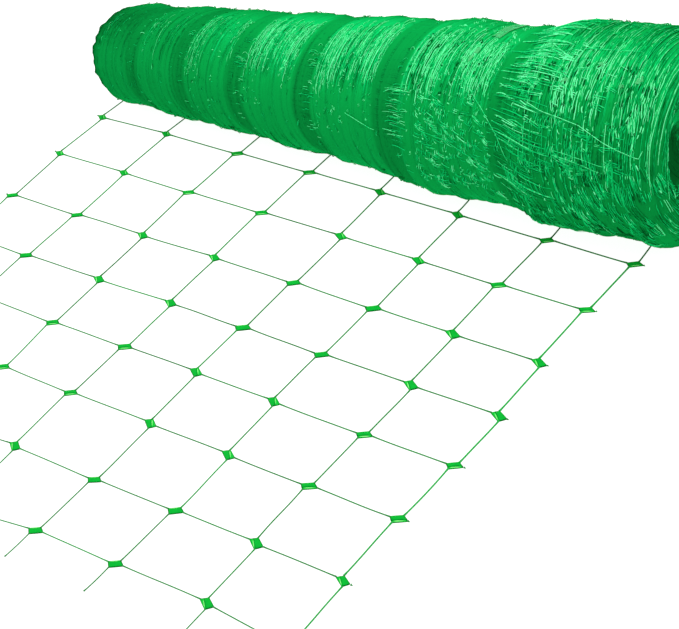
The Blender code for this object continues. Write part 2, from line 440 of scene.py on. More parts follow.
class StrandSweep(GeometryTool):
    """Sweeps chains of edges into strands."""

    def __init__(self, name: str = "strand_sweep", upright: bool = False) -> None:
        """Build the group.

        Args:
            name: Name of the group.
            upright: Whether the section keeps its height upright, as on strands lying flat.
        """
        super().__init__(name, (("Sides", "NodeSocketInt"), ("Flatness", "NodeSocketFloat"),
                                ("Finish", "NodeSocketMaterial")))
        graph = self.graph
        line = graph.node("GeometryNodeMeshToCurve", {}, {"Mesh": self.given("Geometry")})
        if upright:
            line = graph.node("GeometryNodeSetCurveNormal", {"mode": "Z_UP"}, {"Curve": line})
        ring = graph.node("GeometryNodeCurvePrimitiveCircle", {}, {
            "Resolution": self.given("Sides"), "Radius": 1.0})
        flat = graph.node("ShaderNodeCombineXYZ", {}, {
            "X": 1.0, "Y": self.given("Flatness"), "Z": 1.0})
        ring = graph.node("GeometryNodeTransform", {}, {"Geometry": ring, "Scale": flat})
        self.close(graph.node("GeometryNodeCurveToMesh", {}, {
            "Curve": line, "Profile Curve": ring, "Scale": self.stored(GAUGE),
            "Fill Caps": True}))

    def make(self, name: str, strands: Strands, finish: bpy.types.Material,
             sides: int = 3, flatness: float = 1.0) -> bpy.types.Object:
        """Sweep strands into one piece.

        Args:
            name: Name of the piece.
            strands: Its strands.
            finish: Its material.
            sides: Sides of a strand's section.
            flatness: Height of the section against its width.

        Returns:
            The finished piece.
        """
        return self.run(strands.source(name), {"Sides": sides, "Flatness": flatness,
                                               "Finish": finish})


class KnotScatter(GeometryTool):
    """Sets knots on points, each with its own shape, turn and size."""

    SHAPE, TURN, SIZE = "shape", "turn", "size"

    def __init__(self, name: str, shapes: bpy.types.Collection) -> None:
        """Build the group.

        Args:
            name: Name of the group.
            shapes: The knots to choose from, in the order of their names.
        """
        super().__init__(name, (("Knots", "NodeSocketCollection"), ("Scale", "NodeSocketFloat"),
                                ("Finish", "NodeSocketMaterial")))
        self.shapes = shapes
        graph = self.graph
        choice = graph.node("GeometryNodeCollectionInfo", {}, {
            "Collection": self.given("Knots"), "Separate Children": True,
            "Reset Children": True})
        points = graph.node("GeometryNodeMeshToPoints", {}, {"Mesh": self.given("Geometry")})
        self.close(graph.node("GeometryNodeInstanceOnPoints", {}, {
            "Points": points, "Instance": choice, "Pick Instance": True,
            "Instance Index": self.stored(self.SHAPE, "INT"),
            "Rotation": self.stored(self.TURN, "FLOAT_VECTOR"),
            "Scale": self.stored(self.SIZE) * self.given("Scale")}))

    def make(self, name: str, places: np.ndarray, shapes: np.ndarray, turns: np.ndarray,
             sizes: np.ndarray, finish: bpy.types.Material) -> bpy.types.Object:
        """Set knots on points as one piece.

        Args:
            name: Name of the piece.
            places: Where each knot goes.
            shapes: Number of each knot's shape in the collection.
            turns: Each knot's turn, as angles about X, Y and Z.
            sizes: Size of each knot against its shape.
            finish: Its material.

        Returns:
            The finished piece.
        """
        mesh = bpy.data.meshes.new(name)
        mesh.from_pydata(places.tolist(), [], [])
        store(mesh, self.SHAPE, shapes, "INT")
        store(mesh, self.TURN, turns, "FLOAT_VECTOR")
        store(mesh, self.SIZE, sizes)
        return self.run(link(mesh, name), {"Knots": self.shapes, "Scale": 1.0,
                                           "Finish": finish})


@dataclass
class RollSkin:
    """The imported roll's skin as a table over run and angle.

    Between the hinges, run is the distance along the roll. Past a hinge, the ray that finds the
    skin swings from square on the axis to along it, so run goes over the rim to the end's middle.
    """

    start: float = -0.6814          # x of the axis at run 0
    length: float = 1.296           # run of the last ring
    axis_y: float = 0.5180          # y of the axis at x = 0
    axis_skew: float = -0.0255      # slope of the axis in plan
    axis_z: float = 0.1431          # height of the axis at x = 0
    axis_rise: float = 0.0563       # slope of the axis in height
    # How far a ring leans along the roll for each metre behind and above the axis, at each end
    lean: Tuple[Pair, Pair] = ((0.26, -0.04), (0.11, -0.21))
    small_hinge: float = 0.100
    large_hinge: float = 1.194
    small_fan: float = 0.205
    large_fan: float = 0.330
    step: float = 0.003
    rays: int = 180
    tree: BVHTree = field(init=False)
    runs: np.ndarray = field(init=False)
    places: np.ndarray = field(init=False)
    normals: np.ndarray = field(init=False)

    def __post_init__(self) -> None:
        """Cast the rays and smooth what they find."""
        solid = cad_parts[Solid.ROLL.value].data
        self.tree = BVHTree.FromPolygons([vertex.co for vertex in solid.vertices],
                                         [face.vertices for face in solid.polygons])
        count = round((self.large_hinge + self.large_fan - self.small_hinge + self.small_fan)
                      / self.step) + 1
        self.runs = np.linspace(self.small_hinge - self.small_fan,
                                self.large_hinge + self.large_fan, count)
        found = [self._ray_row(run) for run in self.runs]
        self.places = self._smooth(np.array([[hit[0] for hit in row] for row in found]))
        normals = self._smooth(np.array([[hit[1] for hit in row] for row in found]))
        self.normals = normals / np.linalg.norm(normals, axis=2, keepdims=True)

    def _ray_row(self, run: float) -> List[Tuple[Vector, Vector]]:
        """Cast the rays of one run.

        Args:
            run: Where along the roll.

        Returns:
            Place and normal of the skin at each angle.
        """
        hinge = min(max(run, self.small_hinge), self.large_hinge)
        fan = self.small_fan if run < hinge else self.large_fan
        swing = math.radians(90.0) * (run - hinge) / fan
        x = self.start + hinge
        axis = Vector((x, self.axis_y + self.axis_skew * x, self.axis_z + self.axis_rise * x))
        behind, above = (small + (large - small) * hinge / self.length
                         for small, large in zip(*self.lean))
        row = []
        for index in range(self.rays):
            angle = math.tau * index / self.rays
            square = Vector((behind * math.cos(angle) + above * math.sin(angle),
                             math.cos(angle), math.sin(angle))).normalized()
            ray = square * math.cos(swing) + Vector((math.sin(swing), 0.0, 0.0))
            place, normal = self.tree.ray_cast(axis, ray.normalized())[:2]
            row.append((place, normal if normal.dot(ray) > 0 else -normal))
        return row

    @staticmethod
    def _smooth(table: np.ndarray) -> np.ndarray:
        """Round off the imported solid's flats.

        Args:
            table: One vector for each run and angle.

        Returns:
            The table, averaged a little round the roll and along it.
        """
        round_ = sum(weight * np.roll(table, shift, axis=1) for shift, weight in
                     ((-2, 1), (-1, 2), (0, 3), (1, 2), (2, 1))) / 9
        padded = np.concatenate([round_[:1], round_, round_[-1:]])
        return (padded[:-2] + 2 * padded[1:-1] + padded[2:]) / 4

    def _sample(self, table: np.ndarray, run: np.ndarray, angle: np.ndarray) -> np.ndarray:
        """Read a table between its entries.

        Args:
            table: One vector for each run and angle.
            run: Where along the roll, for each point.
            angle: Degrees round the roll, for each point.

        Returns:
            One vector for each point.
        """
        # The last row is left out by a hair, so that each row has a next one
        row = np.clip((run - self.runs[0]) / (self.runs[1] - self.runs[0]), 0,
                      len(self.runs) - 1.001)
        column = (angle / 360.0 * self.rays) % self.rays
        low_row, low_column = row.astype(int), column.astype(int) % self.rays
        next_column = (low_column + 1) % self.rays
        along, round_ = (row - low_row)[:, None], (column - np.floor(column))[:, None]
        near = table[low_row, low_column] * (1 - round_) + table[low_row, next_column] * round_
        far = (table[low_row + 1, low_column] * (1 - round_)
               + table[low_row + 1, next_column] * round_)
        return near * (1 - along) + far * along

    def at(self, run: Numbers, angle: Numbers, lift: Numbers = 0.0,
           floor: float = 0.0) -> np.ndarray:
        """Find points on the skin or off it.

        Args:
            run: Where along the roll, for all or for each point.
            angle: Degrees round the roll, for all or for each point.
            lift: Height over the skin, for all or for each point.
            floor: Least height over the floor.

        Returns:
            One place for each point.
        """
        run, angle, lift = np.broadcast_arrays(*(np.atleast_1d(np.asarray(value, float))
                                                 for value in (run, angle, lift)))
        places = (self._sample(self.places, run, angle)
                  + self._sample(self.normals, run, angle) * lift[:, None])
        places[:, 2] = np.maximum(places[:, 2], floor)
        return places

    def radius(self, run: float) -> float:
        """Return the skin's rough radius at a run."""
        here = self.at(run, np.array([0.0, 180.0]))
        return float(np.linalg.norm(here[0] - here[1])) / 2

    def seat(self, x: float, y: float, clear: float, step: float = 0.001) -> float:
        """Find how far back a strand on the floor can run in under the roll.

        Args:
            x: Where along the floor it runs.
            y: Where it starts.
            clear: Least height of the underside that lets it pass.
            step: How far each try goes.

        Returns:
            The y where it has to stop.
        """
        while y < self.axis_y + self.axis_skew * x:
            hit = self.tree.ray_cast(Vector((x, y, -step)), Vector((0.0, 0.0, 1.0)))[0]
            if hit is not None and hit.z < clear:
                break
            y += step
        return y


def wander(rng: np.random.Generator, share: np.ndarray, reach: float,
           waves: Sequence[float]) -> np.ndarray:
    """Return a slow random swing.

    Args:
        rng: Source of the random phases.
        share: Where along the strand, from 0 to 1, for each point.
        reach: Size of the slowest swing.
        waves: Swings along the whole strand, from slow to fast.

    Returns:
        The swing at each point.
    """
    return sum(reach / wave ** 0.7 * np.sin(math.tau * (wave * share + rng.random()))
               for wave in waves)


def dipped(share: np.ndarray, top: Numbers, dip: float, edge: float) -> np.ndarray:
    """Return a height that goes under the skin at both ends of a strand.

    Args:
        share: Where along the strand, from 0 to 1, for each point.
        top: Height between the ends.
        dip: How far under the skin the ends go.
        edge: Share of the strand that each end takes.

    Returns:
        The height at each point.
    """
    rise = np.clip(np.minimum(share, 1 - share) / edge, 0, 1)
    return -dip + (top + dip) * rise * rise * (3 - 2 * rise)


@dataclass(frozen=True)
class Zone:
    """A stretch of the roll, from one run to another."""

    start: float
    end: float

    @property
    def length(self) -> float:
        """Return how long the stretch is."""
        return self.end - self.start

    @property
    def middle(self) -> float:
        """Return the run in its middle."""
        return (self.start + self.end) / 2


# The lengthwise strands pile up in crowns; only strands across the netting bridge the waists
CROWNS = (Zone(0.020, 0.118), Zone(0.155, 0.262), Zone(0.300, 0.418), Zone(0.462, 0.598),
          Zone(0.646, 0.796), Zone(0.858, 1.046), Zone(1.090, 1.330))
WAISTS = tuple(Zone(before.end, after.start) for before, after in zip(CROWNS, CROWNS[1:]))


def smooth_step(low: float, high: float, value: np.ndarray) -> np.ndarray:
    """Return a soft step that is 0 below low and 1 above high."""
    share = np.clip((value - low) / (high - low), 0, 1)
    return share * share * (3 - 2 * share)


@dataclass
class Winding:
    """How the wound plastic varies over run and angle: its tint with painted light and shade, its
    painted glint and its ruffles.
    """

    # Painted light on each crown's upper front round the painted light angle; below 0 it is painted
    # shade
    crown_painted_light: Tuple[float, ...] = (-0.46, -0.06, 0.42, 0.68, 0.72, 0.44, 0.74)
    # How strongly each crown takes the painted glint
    crown_painted_glint: Tuple[float, ...] = (0.15, 0.20, 0.40, 0.90, 0.90, 0.90, 0.60)
    crown_grain: Tuple[float, ...] = (0.04, 0.05, 0.08, 0.10, 0.10, 0.20, 0.42)
    base_grain: float = 0.04        # the same everywhere, added to that
    # Painted shade in the waists' valleys between the crowns
    waist_tint: float = -0.50
    waist_painted_light: Triple = (0.44, 88.0, 46.0)    # painted light on the waists' upper front: how much, angle and spread
    # Each crown's tint away from the painted light
    low_tint: Tuple[float, ...] = (-0.22, -0.15, -0.17, -0.10, -0.07, -0.10, -0.38)
    edge: float = 0.006             # half the width of the step from a crown to a waist
    # Angle and spread of the painted light on the crowns
    painted_light_angle: float = 108.0
    painted_light_spread: float = 32.0
    # Where the painted glint comes in, is full, fades and is gone
    painted_glint_angles: Tuple[float, float, float, float] = (88.0, 108.0, 138.0, 156.0)
    rims: Tuple[Triple, ...] = (    # angle, spread and tint: painted shade on the upper outline as seen from the front, painted light on the lower
        (47.0, 9.0, -0.35), (222.0, 11.0, 0.22))
    painted_end_shades: Pair = (-1.20, -0.85)    # painted shade of the small and the large end
    small_end: Pair = (-0.024, 0.038)    # runs where that tint fades out
    large_end: Pair = (1.430, 1.470)    # and where it comes in
    hollow: Pair = (0.045, 205.0)    # how far sooner the painted shade of the large end comes in on the hollow's side, and that side's angle
    ruffle: float = 0.0090          # how far ruffles along the rims stand off the skin
    ruffle_runs: Pair = (-0.2, 1.6)    # where they start and end
    ruffle_step: float = 0.009
    ruffle_power: float = 1.8       # above 1 makes high ruffles rare
    ruffle_reach: float = 2.0       # how far round they go, in spreads of the rim
    ruffle_degrees: float = 4.0     # the same for those round the small end
    end_ruffle: Pair = (-0.025, 0.050)    # run and spread of those
    end_share: float = 0.9          # and their height against the rims'
    seed: int = 5

    @staticmethod
    def front(angle: np.ndarray) -> np.ndarray:
        """Return angles brought between -90 and 270, so that the front has no jump."""
        return (np.asarray(angle, float) + 90.0) % 360.0 - 90.0

    def crowns(self, run: np.ndarray) -> np.ndarray:
        """Say how far each run lies on each crown.

        Args:
            run: Where along the roll, for each point.

        Returns:
            A row for each crown, with 0 to 1 for each point.
        """
        rows = []
        for index, crown in enumerate(CROWNS):
            rise = (smooth_step(crown.start - self.edge, crown.start + self.edge, run)
                    if index else np.ones(np.shape(run)))
            fall = (1 - smooth_step(crown.end - self.edge, crown.end + self.edge, run)
                    if index < len(CROWNS) - 1 else np.ones(np.shape(run)))
            rows.append(rise * fall)
        return np.array(rows)

    def edge_tint(self, run: np.ndarray, angle: np.ndarray) -> np.ndarray:
        """Return the painted shade and light that the roll's outline, as seen from the front, and
        its ends add to the tint.
        """
        front = self.front(angle)
        sooner, side = self.hollow
        deep = run + sooner * np.cos(np.radians(front - side))
        small, large = self.painted_end_shades
        ends = (small * (1 - smooth_step(*self.small_end, run))
                + large * smooth_step(*self.large_end, deep))
        return ends + sum(
            tint * np.exp(-((front - middle) / spread) ** 2) for middle, spread, tint in self.rims)

    def tint(self, run: np.ndarray, angle: np.ndarray) -> np.ndarray:
        """Return the tint at each point, painted light and shade included."""
        on_crowns = self.crowns(run)
        painted_light = np.exp(-((self.front(angle) - self.painted_light_angle) / self.painted_light_spread) ** 2)
        crown = ((np.array(self.low_tint) + np.array(self.crown_painted_light) * painted_light[:, None]).T
                 * on_crowns).sum(axis=0)
        share = on_crowns.sum(axis=0)
        much, middle, spread = self.waist_painted_light
        much = much * smooth_step(WAISTS[1].start, WAISTS[2].end, run)
        waist = self.waist_tint + much * np.exp(-((self.front(angle) - middle) / spread) ** 2)
        return crown + waist * (1 - share) + self.edge_tint(run, angle)

    def painted_glint(self, run: np.ndarray, angle: np.ndarray) -> np.ndarray:
        """Return the painted glint at each point, from 0 to 1, where the strands are lightened as if
        they caught the light.
        """
        first, full, fade, last = self.painted_glint_angles
        front = self.front(angle)
        window = smooth_step(first, full, front) * (1 - smooth_step(fade, last, front))
        return (np.array(self.crown_painted_glint)[:, None] * self.crowns(run)).sum(axis=0) * window

    def grain(self, run: np.ndarray) -> np.ndarray:
        """Return how much neighbouring turns differ in tint at each point."""
        grain = (np.array(self.crown_grain)[:, None] * self.crowns(run)).sum(axis=0)
        return grain + self.base_grain

    def ruffles(self, run: np.ndarray, angle: np.ndarray) -> np.ndarray:
        """Return how far the winding stands off the skin in ruffles along its outline."""
        rng = np.random.default_rng(self.seed)
        stops = np.arange(*self.ruffle_runs, self.ruffle_step)
        front = self.front(angle)
        heights = rng.random((len(self.rims), len(stops))) ** self.ruffle_power
        sides = sum(np.interp(run, stops, row)
                    * np.exp(-((front - middle) / (self.ruffle_reach * spread)) ** 2)
                    for row, (middle, spread, _) in zip(heights, self.rims))
        count = 1 + round(360 / self.ruffle_degrees)
        round_end = np.interp(front, np.linspace(-90.0, 270.0, count),
                              rng.random(count) ** self.ruffle_power)
        near_end = np.exp(-((np.asarray(run) - self.end_ruffle[0]) / self.end_ruffle[1]) ** 2)
        return self.ruffle * np.maximum(sides, self.end_share * round_end * near_end)


@dataclass
class WoundBody:
    """The closed body of wound layers that shows between the outer strands."""

    depth: float = 0.0008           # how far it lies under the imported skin
    ring_points: int = 120
    ridge: float = 0.0006           # height of the soft ridges round it
    ridge_lengths: Tuple[float, ...] = (0.0113, 0.0171, 0.0290)
    ruffle_share: float = 0.85      # how much of the ruffles' height it takes
    clear: float = 0.0003           # least height over the floor

    def build(self, skin: RollSkin, winding: Winding,
              finish: bpy.types.Material) -> bpy.types.Object:
        """Build the body.

        Args:
            skin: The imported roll's skin.
            winding: How the wound plastic varies.
            finish: Its material.

        Returns:
            The finished piece.
        """
        runs = skin.runs[1:-1]
        angles = np.arange(self.ring_points) * 360.0 / self.ring_points
        points, grains, tints = [], [], []
        for run in runs:
            row = np.full(self.ring_points, run)
            ridges = sum(np.sin(math.tau * (run / length + angles * turns / 360.0) + length)
                         for turns, length in enumerate(self.ridge_lengths)) * self.ridge / 2
            lift = ridges - self.depth + self.ruffle_share * winding.ruffles(row, angles)
            points.append(skin.at(row, angles, lift, self.clear))
            grains.append(np.column_stack([row, points[-1][:, 1:]]))
            tints.append(winding.tint(row, angles))
        for rows in (points, grains, tints):
            rows += [row.mean(axis=0, keepdims=True) for row in (rows[0], rows[-1])]
        mesh = tinted_mesh("wound_body", points, self._faces(len(runs)), tints)
        store(mesh, GRAIN, np.concatenate(grains), "FLOAT_VECTOR")
        mesh.materials.append(finish)
        mesh.shade_smooth()
        return link(mesh, "wound_body")

    def _faces(self, rows: int) -> List[Tuple[int, ...]]:
        """Return the body's faces, with a pole at each end.

        Args:
            rows: How many rings of points it has.

        Returns:
            The points of each face, in an order that faces outwards.
        """
        around = self.ring_points
        faces: List[Tuple[int, ...]] = []
        for index, after in ring_pairs(around):
            for row in range(rows - 1):
                here, there = row * around, (row + 1) * around
                faces.append((here + index, here + after, there + after, there + index))
            last = (rows - 1) * around
            faces.append((index, rows * around, after))
            faces.append((last + after, rows * around + 1, last + index))
        return faces


@dataclass
class Layer:
    """A layer of strands that follow the skin of the roll.

    In the fields of each kind of layer, a pair is a range from least to most unless its comment
    says otherwise. One called tint, drift or bow is a mean and a spread. One called dip is how far
    the ends of a strand go under the skin, and the share of the strand that each end takes. Waves
    are the swings that a strand makes along its length.
    """

    skin: RollSkin
    winding: Winding
    name: ClassVar[str] = "layer"
    follow: ClassVar[float] = 0.9   # how much of the ruffles' height proud strands take
    seed: int = 0
    strands: Strands = field(default_factory=Strands, init=False)
    rng: np.random.Generator = field(init=False)

    def __post_init__(self) -> None:
        """Seed what is random."""
        self.rng = np.random.default_rng(self.seed)

    def fill(self) -> None:
        """Lay all the layer's strands."""
        raise NotImplementedError

    def lay(self, run: np.ndarray, angle: np.ndarray, lift: np.ndarray, gauge: float,
            tint: Numbers, clear: float = 0.0) -> None:
        """Lay one strand.

        Args:
            run: Where along the roll, for each point.
            angle: Degrees round the roll, for each point.
            lift: Height over the skin, for each point.
            gauge: Half its width.
            tint: Its tint, for all or for each point.
            clear: Least height over the floor, where that is more than the gauge.
        """
        self.strands.add(self.skin.at(run, angle, lift, max(gauge, clear)), gauge, tint)

    def build(self, sweep: StrandSweep, finish: bpy.types.Material) -> bpy.types.Object:
        """Build the layer.

        Args:
            sweep: The sweep that makes strands.
            finish: Their material.

        Returns:
            The finished piece.
        """
        self.fill()
        return sweep.make(self.name, self.strands, finish)


@dataclass
class UnderTurns(Layer):
    """Close turns of the lengthwise strands, mostly sunk in the body, and those of the ends."""

    name: ClassVar[str] = "under_turns"
    spacing: float = 0.0024
    waist_spacing: float = 0.0044
    end_spacing: float = 0.0036
    end_gaps: Pair = (0.012, 0.020)    # left free in the middle of each end
    round_trip: float = 372.0       # degrees that a turn goes round, so that its ends lap
    point_step: float = 7.5         # degrees between a turn's points
    end_point_step: float = 4.0
    gauge: Pair = (0.0009, 0.0013)
    jitter: float = 0.3             # how far off its place a turn lies, in spacings
    sway: float = 0.0020            # sideways swing that neighbouring turns share
    stray: float = 0.0007           # and each one's own
    stray_waves: Pair = (2.0, 5.0)
    sunk: float = -0.0015           # height of a turn's middle where the winding is calm
    rise: float = 0.0016            # how much higher it lies under the painted glint
    rise_share: Pair = (0.5, 1.1)    # how much of that a turn takes
    ruffle_share: Pair = (0.75, 1.05)    # and of the ruffles' height
    unevenness: float = 0.00015     # how far its height is off that
    dip: Pair = (0.0020, 0.05)
    band: int = 3                   # neighbours that share a tint
    band_glint: float = 0.4         # how much more they differ under the painted glint
    turn_glint: float = 0.35        # how much turns differ there one by one
    speck: Pair = (0.4, 0.3)    # how much grain and painted glint speck a turn
    seed: int = 11

    def fill(self) -> None:
        """Wind the ends, the crowns and the waists."""
        first = self.skin.runs[0] + self.end_gaps[0]
        last = self.skin.runs[-1] - self.end_gaps[1]
        self._wind(Zone(first, CROWNS[0].start), self.end_spacing, self.end_point_step)
        for zones, spacing in ((CROWNS, self.spacing), (WAISTS, self.waist_spacing)):
            for zone in zones:
                self._wind(zone, spacing, self.point_step)
        self._wind(Zone(CROWNS[-1].end, last), self.end_spacing, self.point_step)

    def _wind(self, zone: Zone, spacing: float, point_step: float) -> None:
        """Wind one zone with close turns.

        Args:
            zone: The stretch that is wound.
            spacing: Distance between turns.
            point_step: Degrees between a turn's points.
        """
        rng, winding = self.rng, self.winding
        swing_phase = rng.random(3)
        count = round(zone.length / spacing)
        spare = self.band + 1
        band = np.convolve(rng.normal(size=count + 2 * spare), np.ones(self.band) / self.band,
                           mode="same")[spare:-spare]
        for index in range(count):
            first = rng.uniform(0, 360)
            angle = first + np.arange(0, self.round_trip, point_step)
            share = angle / 360.0
            shared = sum(self.sway / (wave + 1) * np.sin(math.tau * (share * (wave + 1) + phase))
                         for wave, phase in enumerate(swing_phase))
            place = index + 0.5 + rng.uniform(-self.jitter, self.jitter)
            run = (zone.start + spacing * place + shared
                   + wander(rng, share, self.stray, self.stray_waves))
            painted_glint, grain = winding.painted_glint(run, angle), winding.grain(run)
            top = (self.sunk + self.rise * painted_glint * rng.uniform(*self.rise_share)
                   + winding.ruffles(run, angle) * rng.uniform(*self.ruffle_share)
                   + rng.normal(0, self.unevenness))
            lift = dipped(np.linspace(0, 1, len(angle)), top, *self.dip)
            gauge = rng.uniform(*self.gauge)
            # Under the painted glint, turns are made lighter and darker by turns as a painted
            # highlight
            tint = (winding.tint(run, angle) + band[index] * (grain + self.band_glint * painted_glint)
                    + painted_glint * rng.normal(0.0, self.turn_glint)
                    + (self.speck[0] * grain + self.speck[1] * painted_glint)
                    * rng.normal(size=len(angle)))
            self.lay(run, angle, lift, gauge, tint)


@dataclass(frozen=True)
class Sheen:
    """A patch where outer strands stand proud of a crown, lightened as a painted highlight."""

    zone: Zone
    top: Pair                       # angle where the strands start, and how much that varies
    foot: Pair                      # angle where they end, and how much that varies
    count: int
    # how light its strands are; above 1 a painted highlight
    tone: float
    thick: float = 1.0              # gauge against that of the rest


@dataclass
class OuterBundles(Layer):
    """Lengthwise strands that stand proud on the crowns."""

    name: ClassVar[str] = "outer_bundles"
    # The patches, their light strands a painted highlight
    sheens: Tuple[Sheen, ...] = (
        Sheen(Zone(0.025, 0.075), (108, 8), (142, 10), 8, 0.6),
        Sheen(Zone(0.158, 0.215), (104, 9), (136, 10), 12, 0.9),
        Sheen(Zone(0.225, 0.262), (104, 9), (136, 12), 7, 0.8),
        Sheen(Zone(0.302, 0.350), (98, 8), (150, 9), 18, 1.2),
        Sheen(Zone(0.350, 0.400), (96, 8), (122, 9), 12, 0.9),
        Sheen(Zone(0.404, 0.418), (94, 6), (136, 9), 6, 1.6),
        Sheen(Zone(0.464, 0.516), (98, 6), (142, 8), 24, 1.7, 1.1),
        Sheen(Zone(0.510, 0.572), (98, 7), (132, 8), 24, 1.5, 1.1),
        Sheen(Zone(0.568, 0.598), (96, 6), (144, 5), 13, 2.0, 1.2),
        Sheen(Zone(0.648, 0.715), (100, 6), (148, 6), 28, 1.7, 1.2),
        Sheen(Zone(0.712, 0.770), (98, 6), (142, 6), 24, 1.7, 1.2),
        Sheen(Zone(0.765, 0.796), (94, 7), (142, 5), 13, 2.0, 1.3),
        Sheen(Zone(0.874, 0.934), (96, 6), (144, 7), 22, 1.7, 1.5),
        Sheen(Zone(0.925, 0.990), (92, 8), (134, 8), 20, 1.4, 1.5),
        Sheen(Zone(0.985, 1.044), (102, 5), (144, 6), 22, 1.8, 1.5),
        Sheen(Zone(0.966, 0.996), (108, 4), (128, 4), 10, 3.0, 1.3),
        Sheen(Zone(1.150, 1.320), (70, 9), (108, 8), 48, 0.9, 1.2),
        Sheen(Zone(1.165, 1.262), (104, 6), (143, 7), 22, 1.9, 1.6),
        Sheen(Zone(1.250, 1.290), (104, 7), (136, 7), 12, 1.3, 1.4),
        Sheen(Zone(1.285, 1.342), (112, 6), (150, 8), 14, 1.9, 1.6),
        Sheen(Zone(1.130, 1.340), (146, 10), (178, 12), 34, 0.7, 1.5),
        Sheen(Zone(1.296, 1.430), (58, 8), (186, 14), 40, 0.8, 1.4))
    back: Tuple[Pair, Pair] = ((-95, 30), (10, 25))     # top and foot over the unseen back
    back_tone: float = 0.45
    back_share: float = 150.0       # how many strands lie there for each metre of crown
    point_step: float = 2.6
    gap: Pair = (0.05, 0.35)    # share of a length that stays free after it
    gauge: Pair = (0.0004, 0.0008)
    height: Pair = (0.0003, 0.0012)
    sparkle: float = 0.30           # how much the tint jumps from point to point
    dip: Pair = (0.0008, 0.15)
    cuts: Tuple[int, int] = (1, 5)    # fewest cuts in a strand, and one more than the most
    tone_spread: float = 0.60       # how much strands differ in tint
    end_tint: float = -0.4          # what the last tenth of a length adds to it
    slant: float = 0.003            # how far a patch drifts along the roll over 45 degrees
    slant_spread: float = 0.001     # how much its strands differ from it
    wave: float = 0.0005            # sideways swing of a length
    waves: Triple = (0.6, 1.4, 3.1)
    spread: float = 0.618034        # step that spreads a patch's strands evenly over it
    seed: int = 23

    def fill(self) -> None:
        """Lay the strands of each patch and of the unseen back."""
        backs = tuple(Sheen(crown, *self.back, round(crown.length * self.back_share),
                            self.back_tone) for crown in CROWNS)
        for sheen in self.sheens + backs:
            slant = self.rng.normal(0, self.slant)
            first = self.rng.random()
            for index in range(sheen.count):
                share = (first + index * self.spread) % 1.0
                self._strand(sheen, sheen.zone.start + sheen.zone.length * share, slant)

    def _strand(self, sheen: Sheen, middle: float, slant: float) -> None:
        """Lay one strand, in two to five lengths with gaps between them.

        Args:
            sheen: The patch that it belongs to.
            middle: Where along the roll.
            slant: How far it drifts along the roll.
        """
        rng = self.rng
        slant += rng.normal(0, self.slant_spread)
        tone = rng.normal(sheen.tone, self.tone_spread)
        top, foot = np.sort([rng.normal(*sheen.top), rng.normal(*sheen.foot)])
        cuts = rng.uniform(top, foot, rng.integers(*self.cuts))
        stops = np.sort(np.concatenate([[top, foot], cuts]))
        for start, end in zip(stops, stops[1:]):
            angle = np.linspace(start, end - rng.uniform(*self.gap) * (end - start),
                                max(4, round((end - start) / self.point_step)))
            share = np.linspace(0, 1, len(angle))
            run = (middle + slant * (angle - top) / 45.0
                   + wander(rng, share, self.wave, self.waves))
            lift = dipped(share, rng.uniform(*self.height), *self.dip)
            gauge = sheen.thick * rng.uniform(*self.gauge)
            tint = tone + rng.normal(0, self.sparkle, len(angle)) + self.end_tint * (share > 0.9)
            self.lay(run, angle, lift + self.follow * self.winding.ruffles(run, angle), gauge, tint)


@dataclass(frozen=True)
class HairTuft:
    """Pale hairs that stick out of a crown's edge over the waist before it."""

    waist: int
    angle: float
    spread: float
    count: int
    length: Pair
    inset: float = 0.0              # how far beyond the crown's edge the hairs start


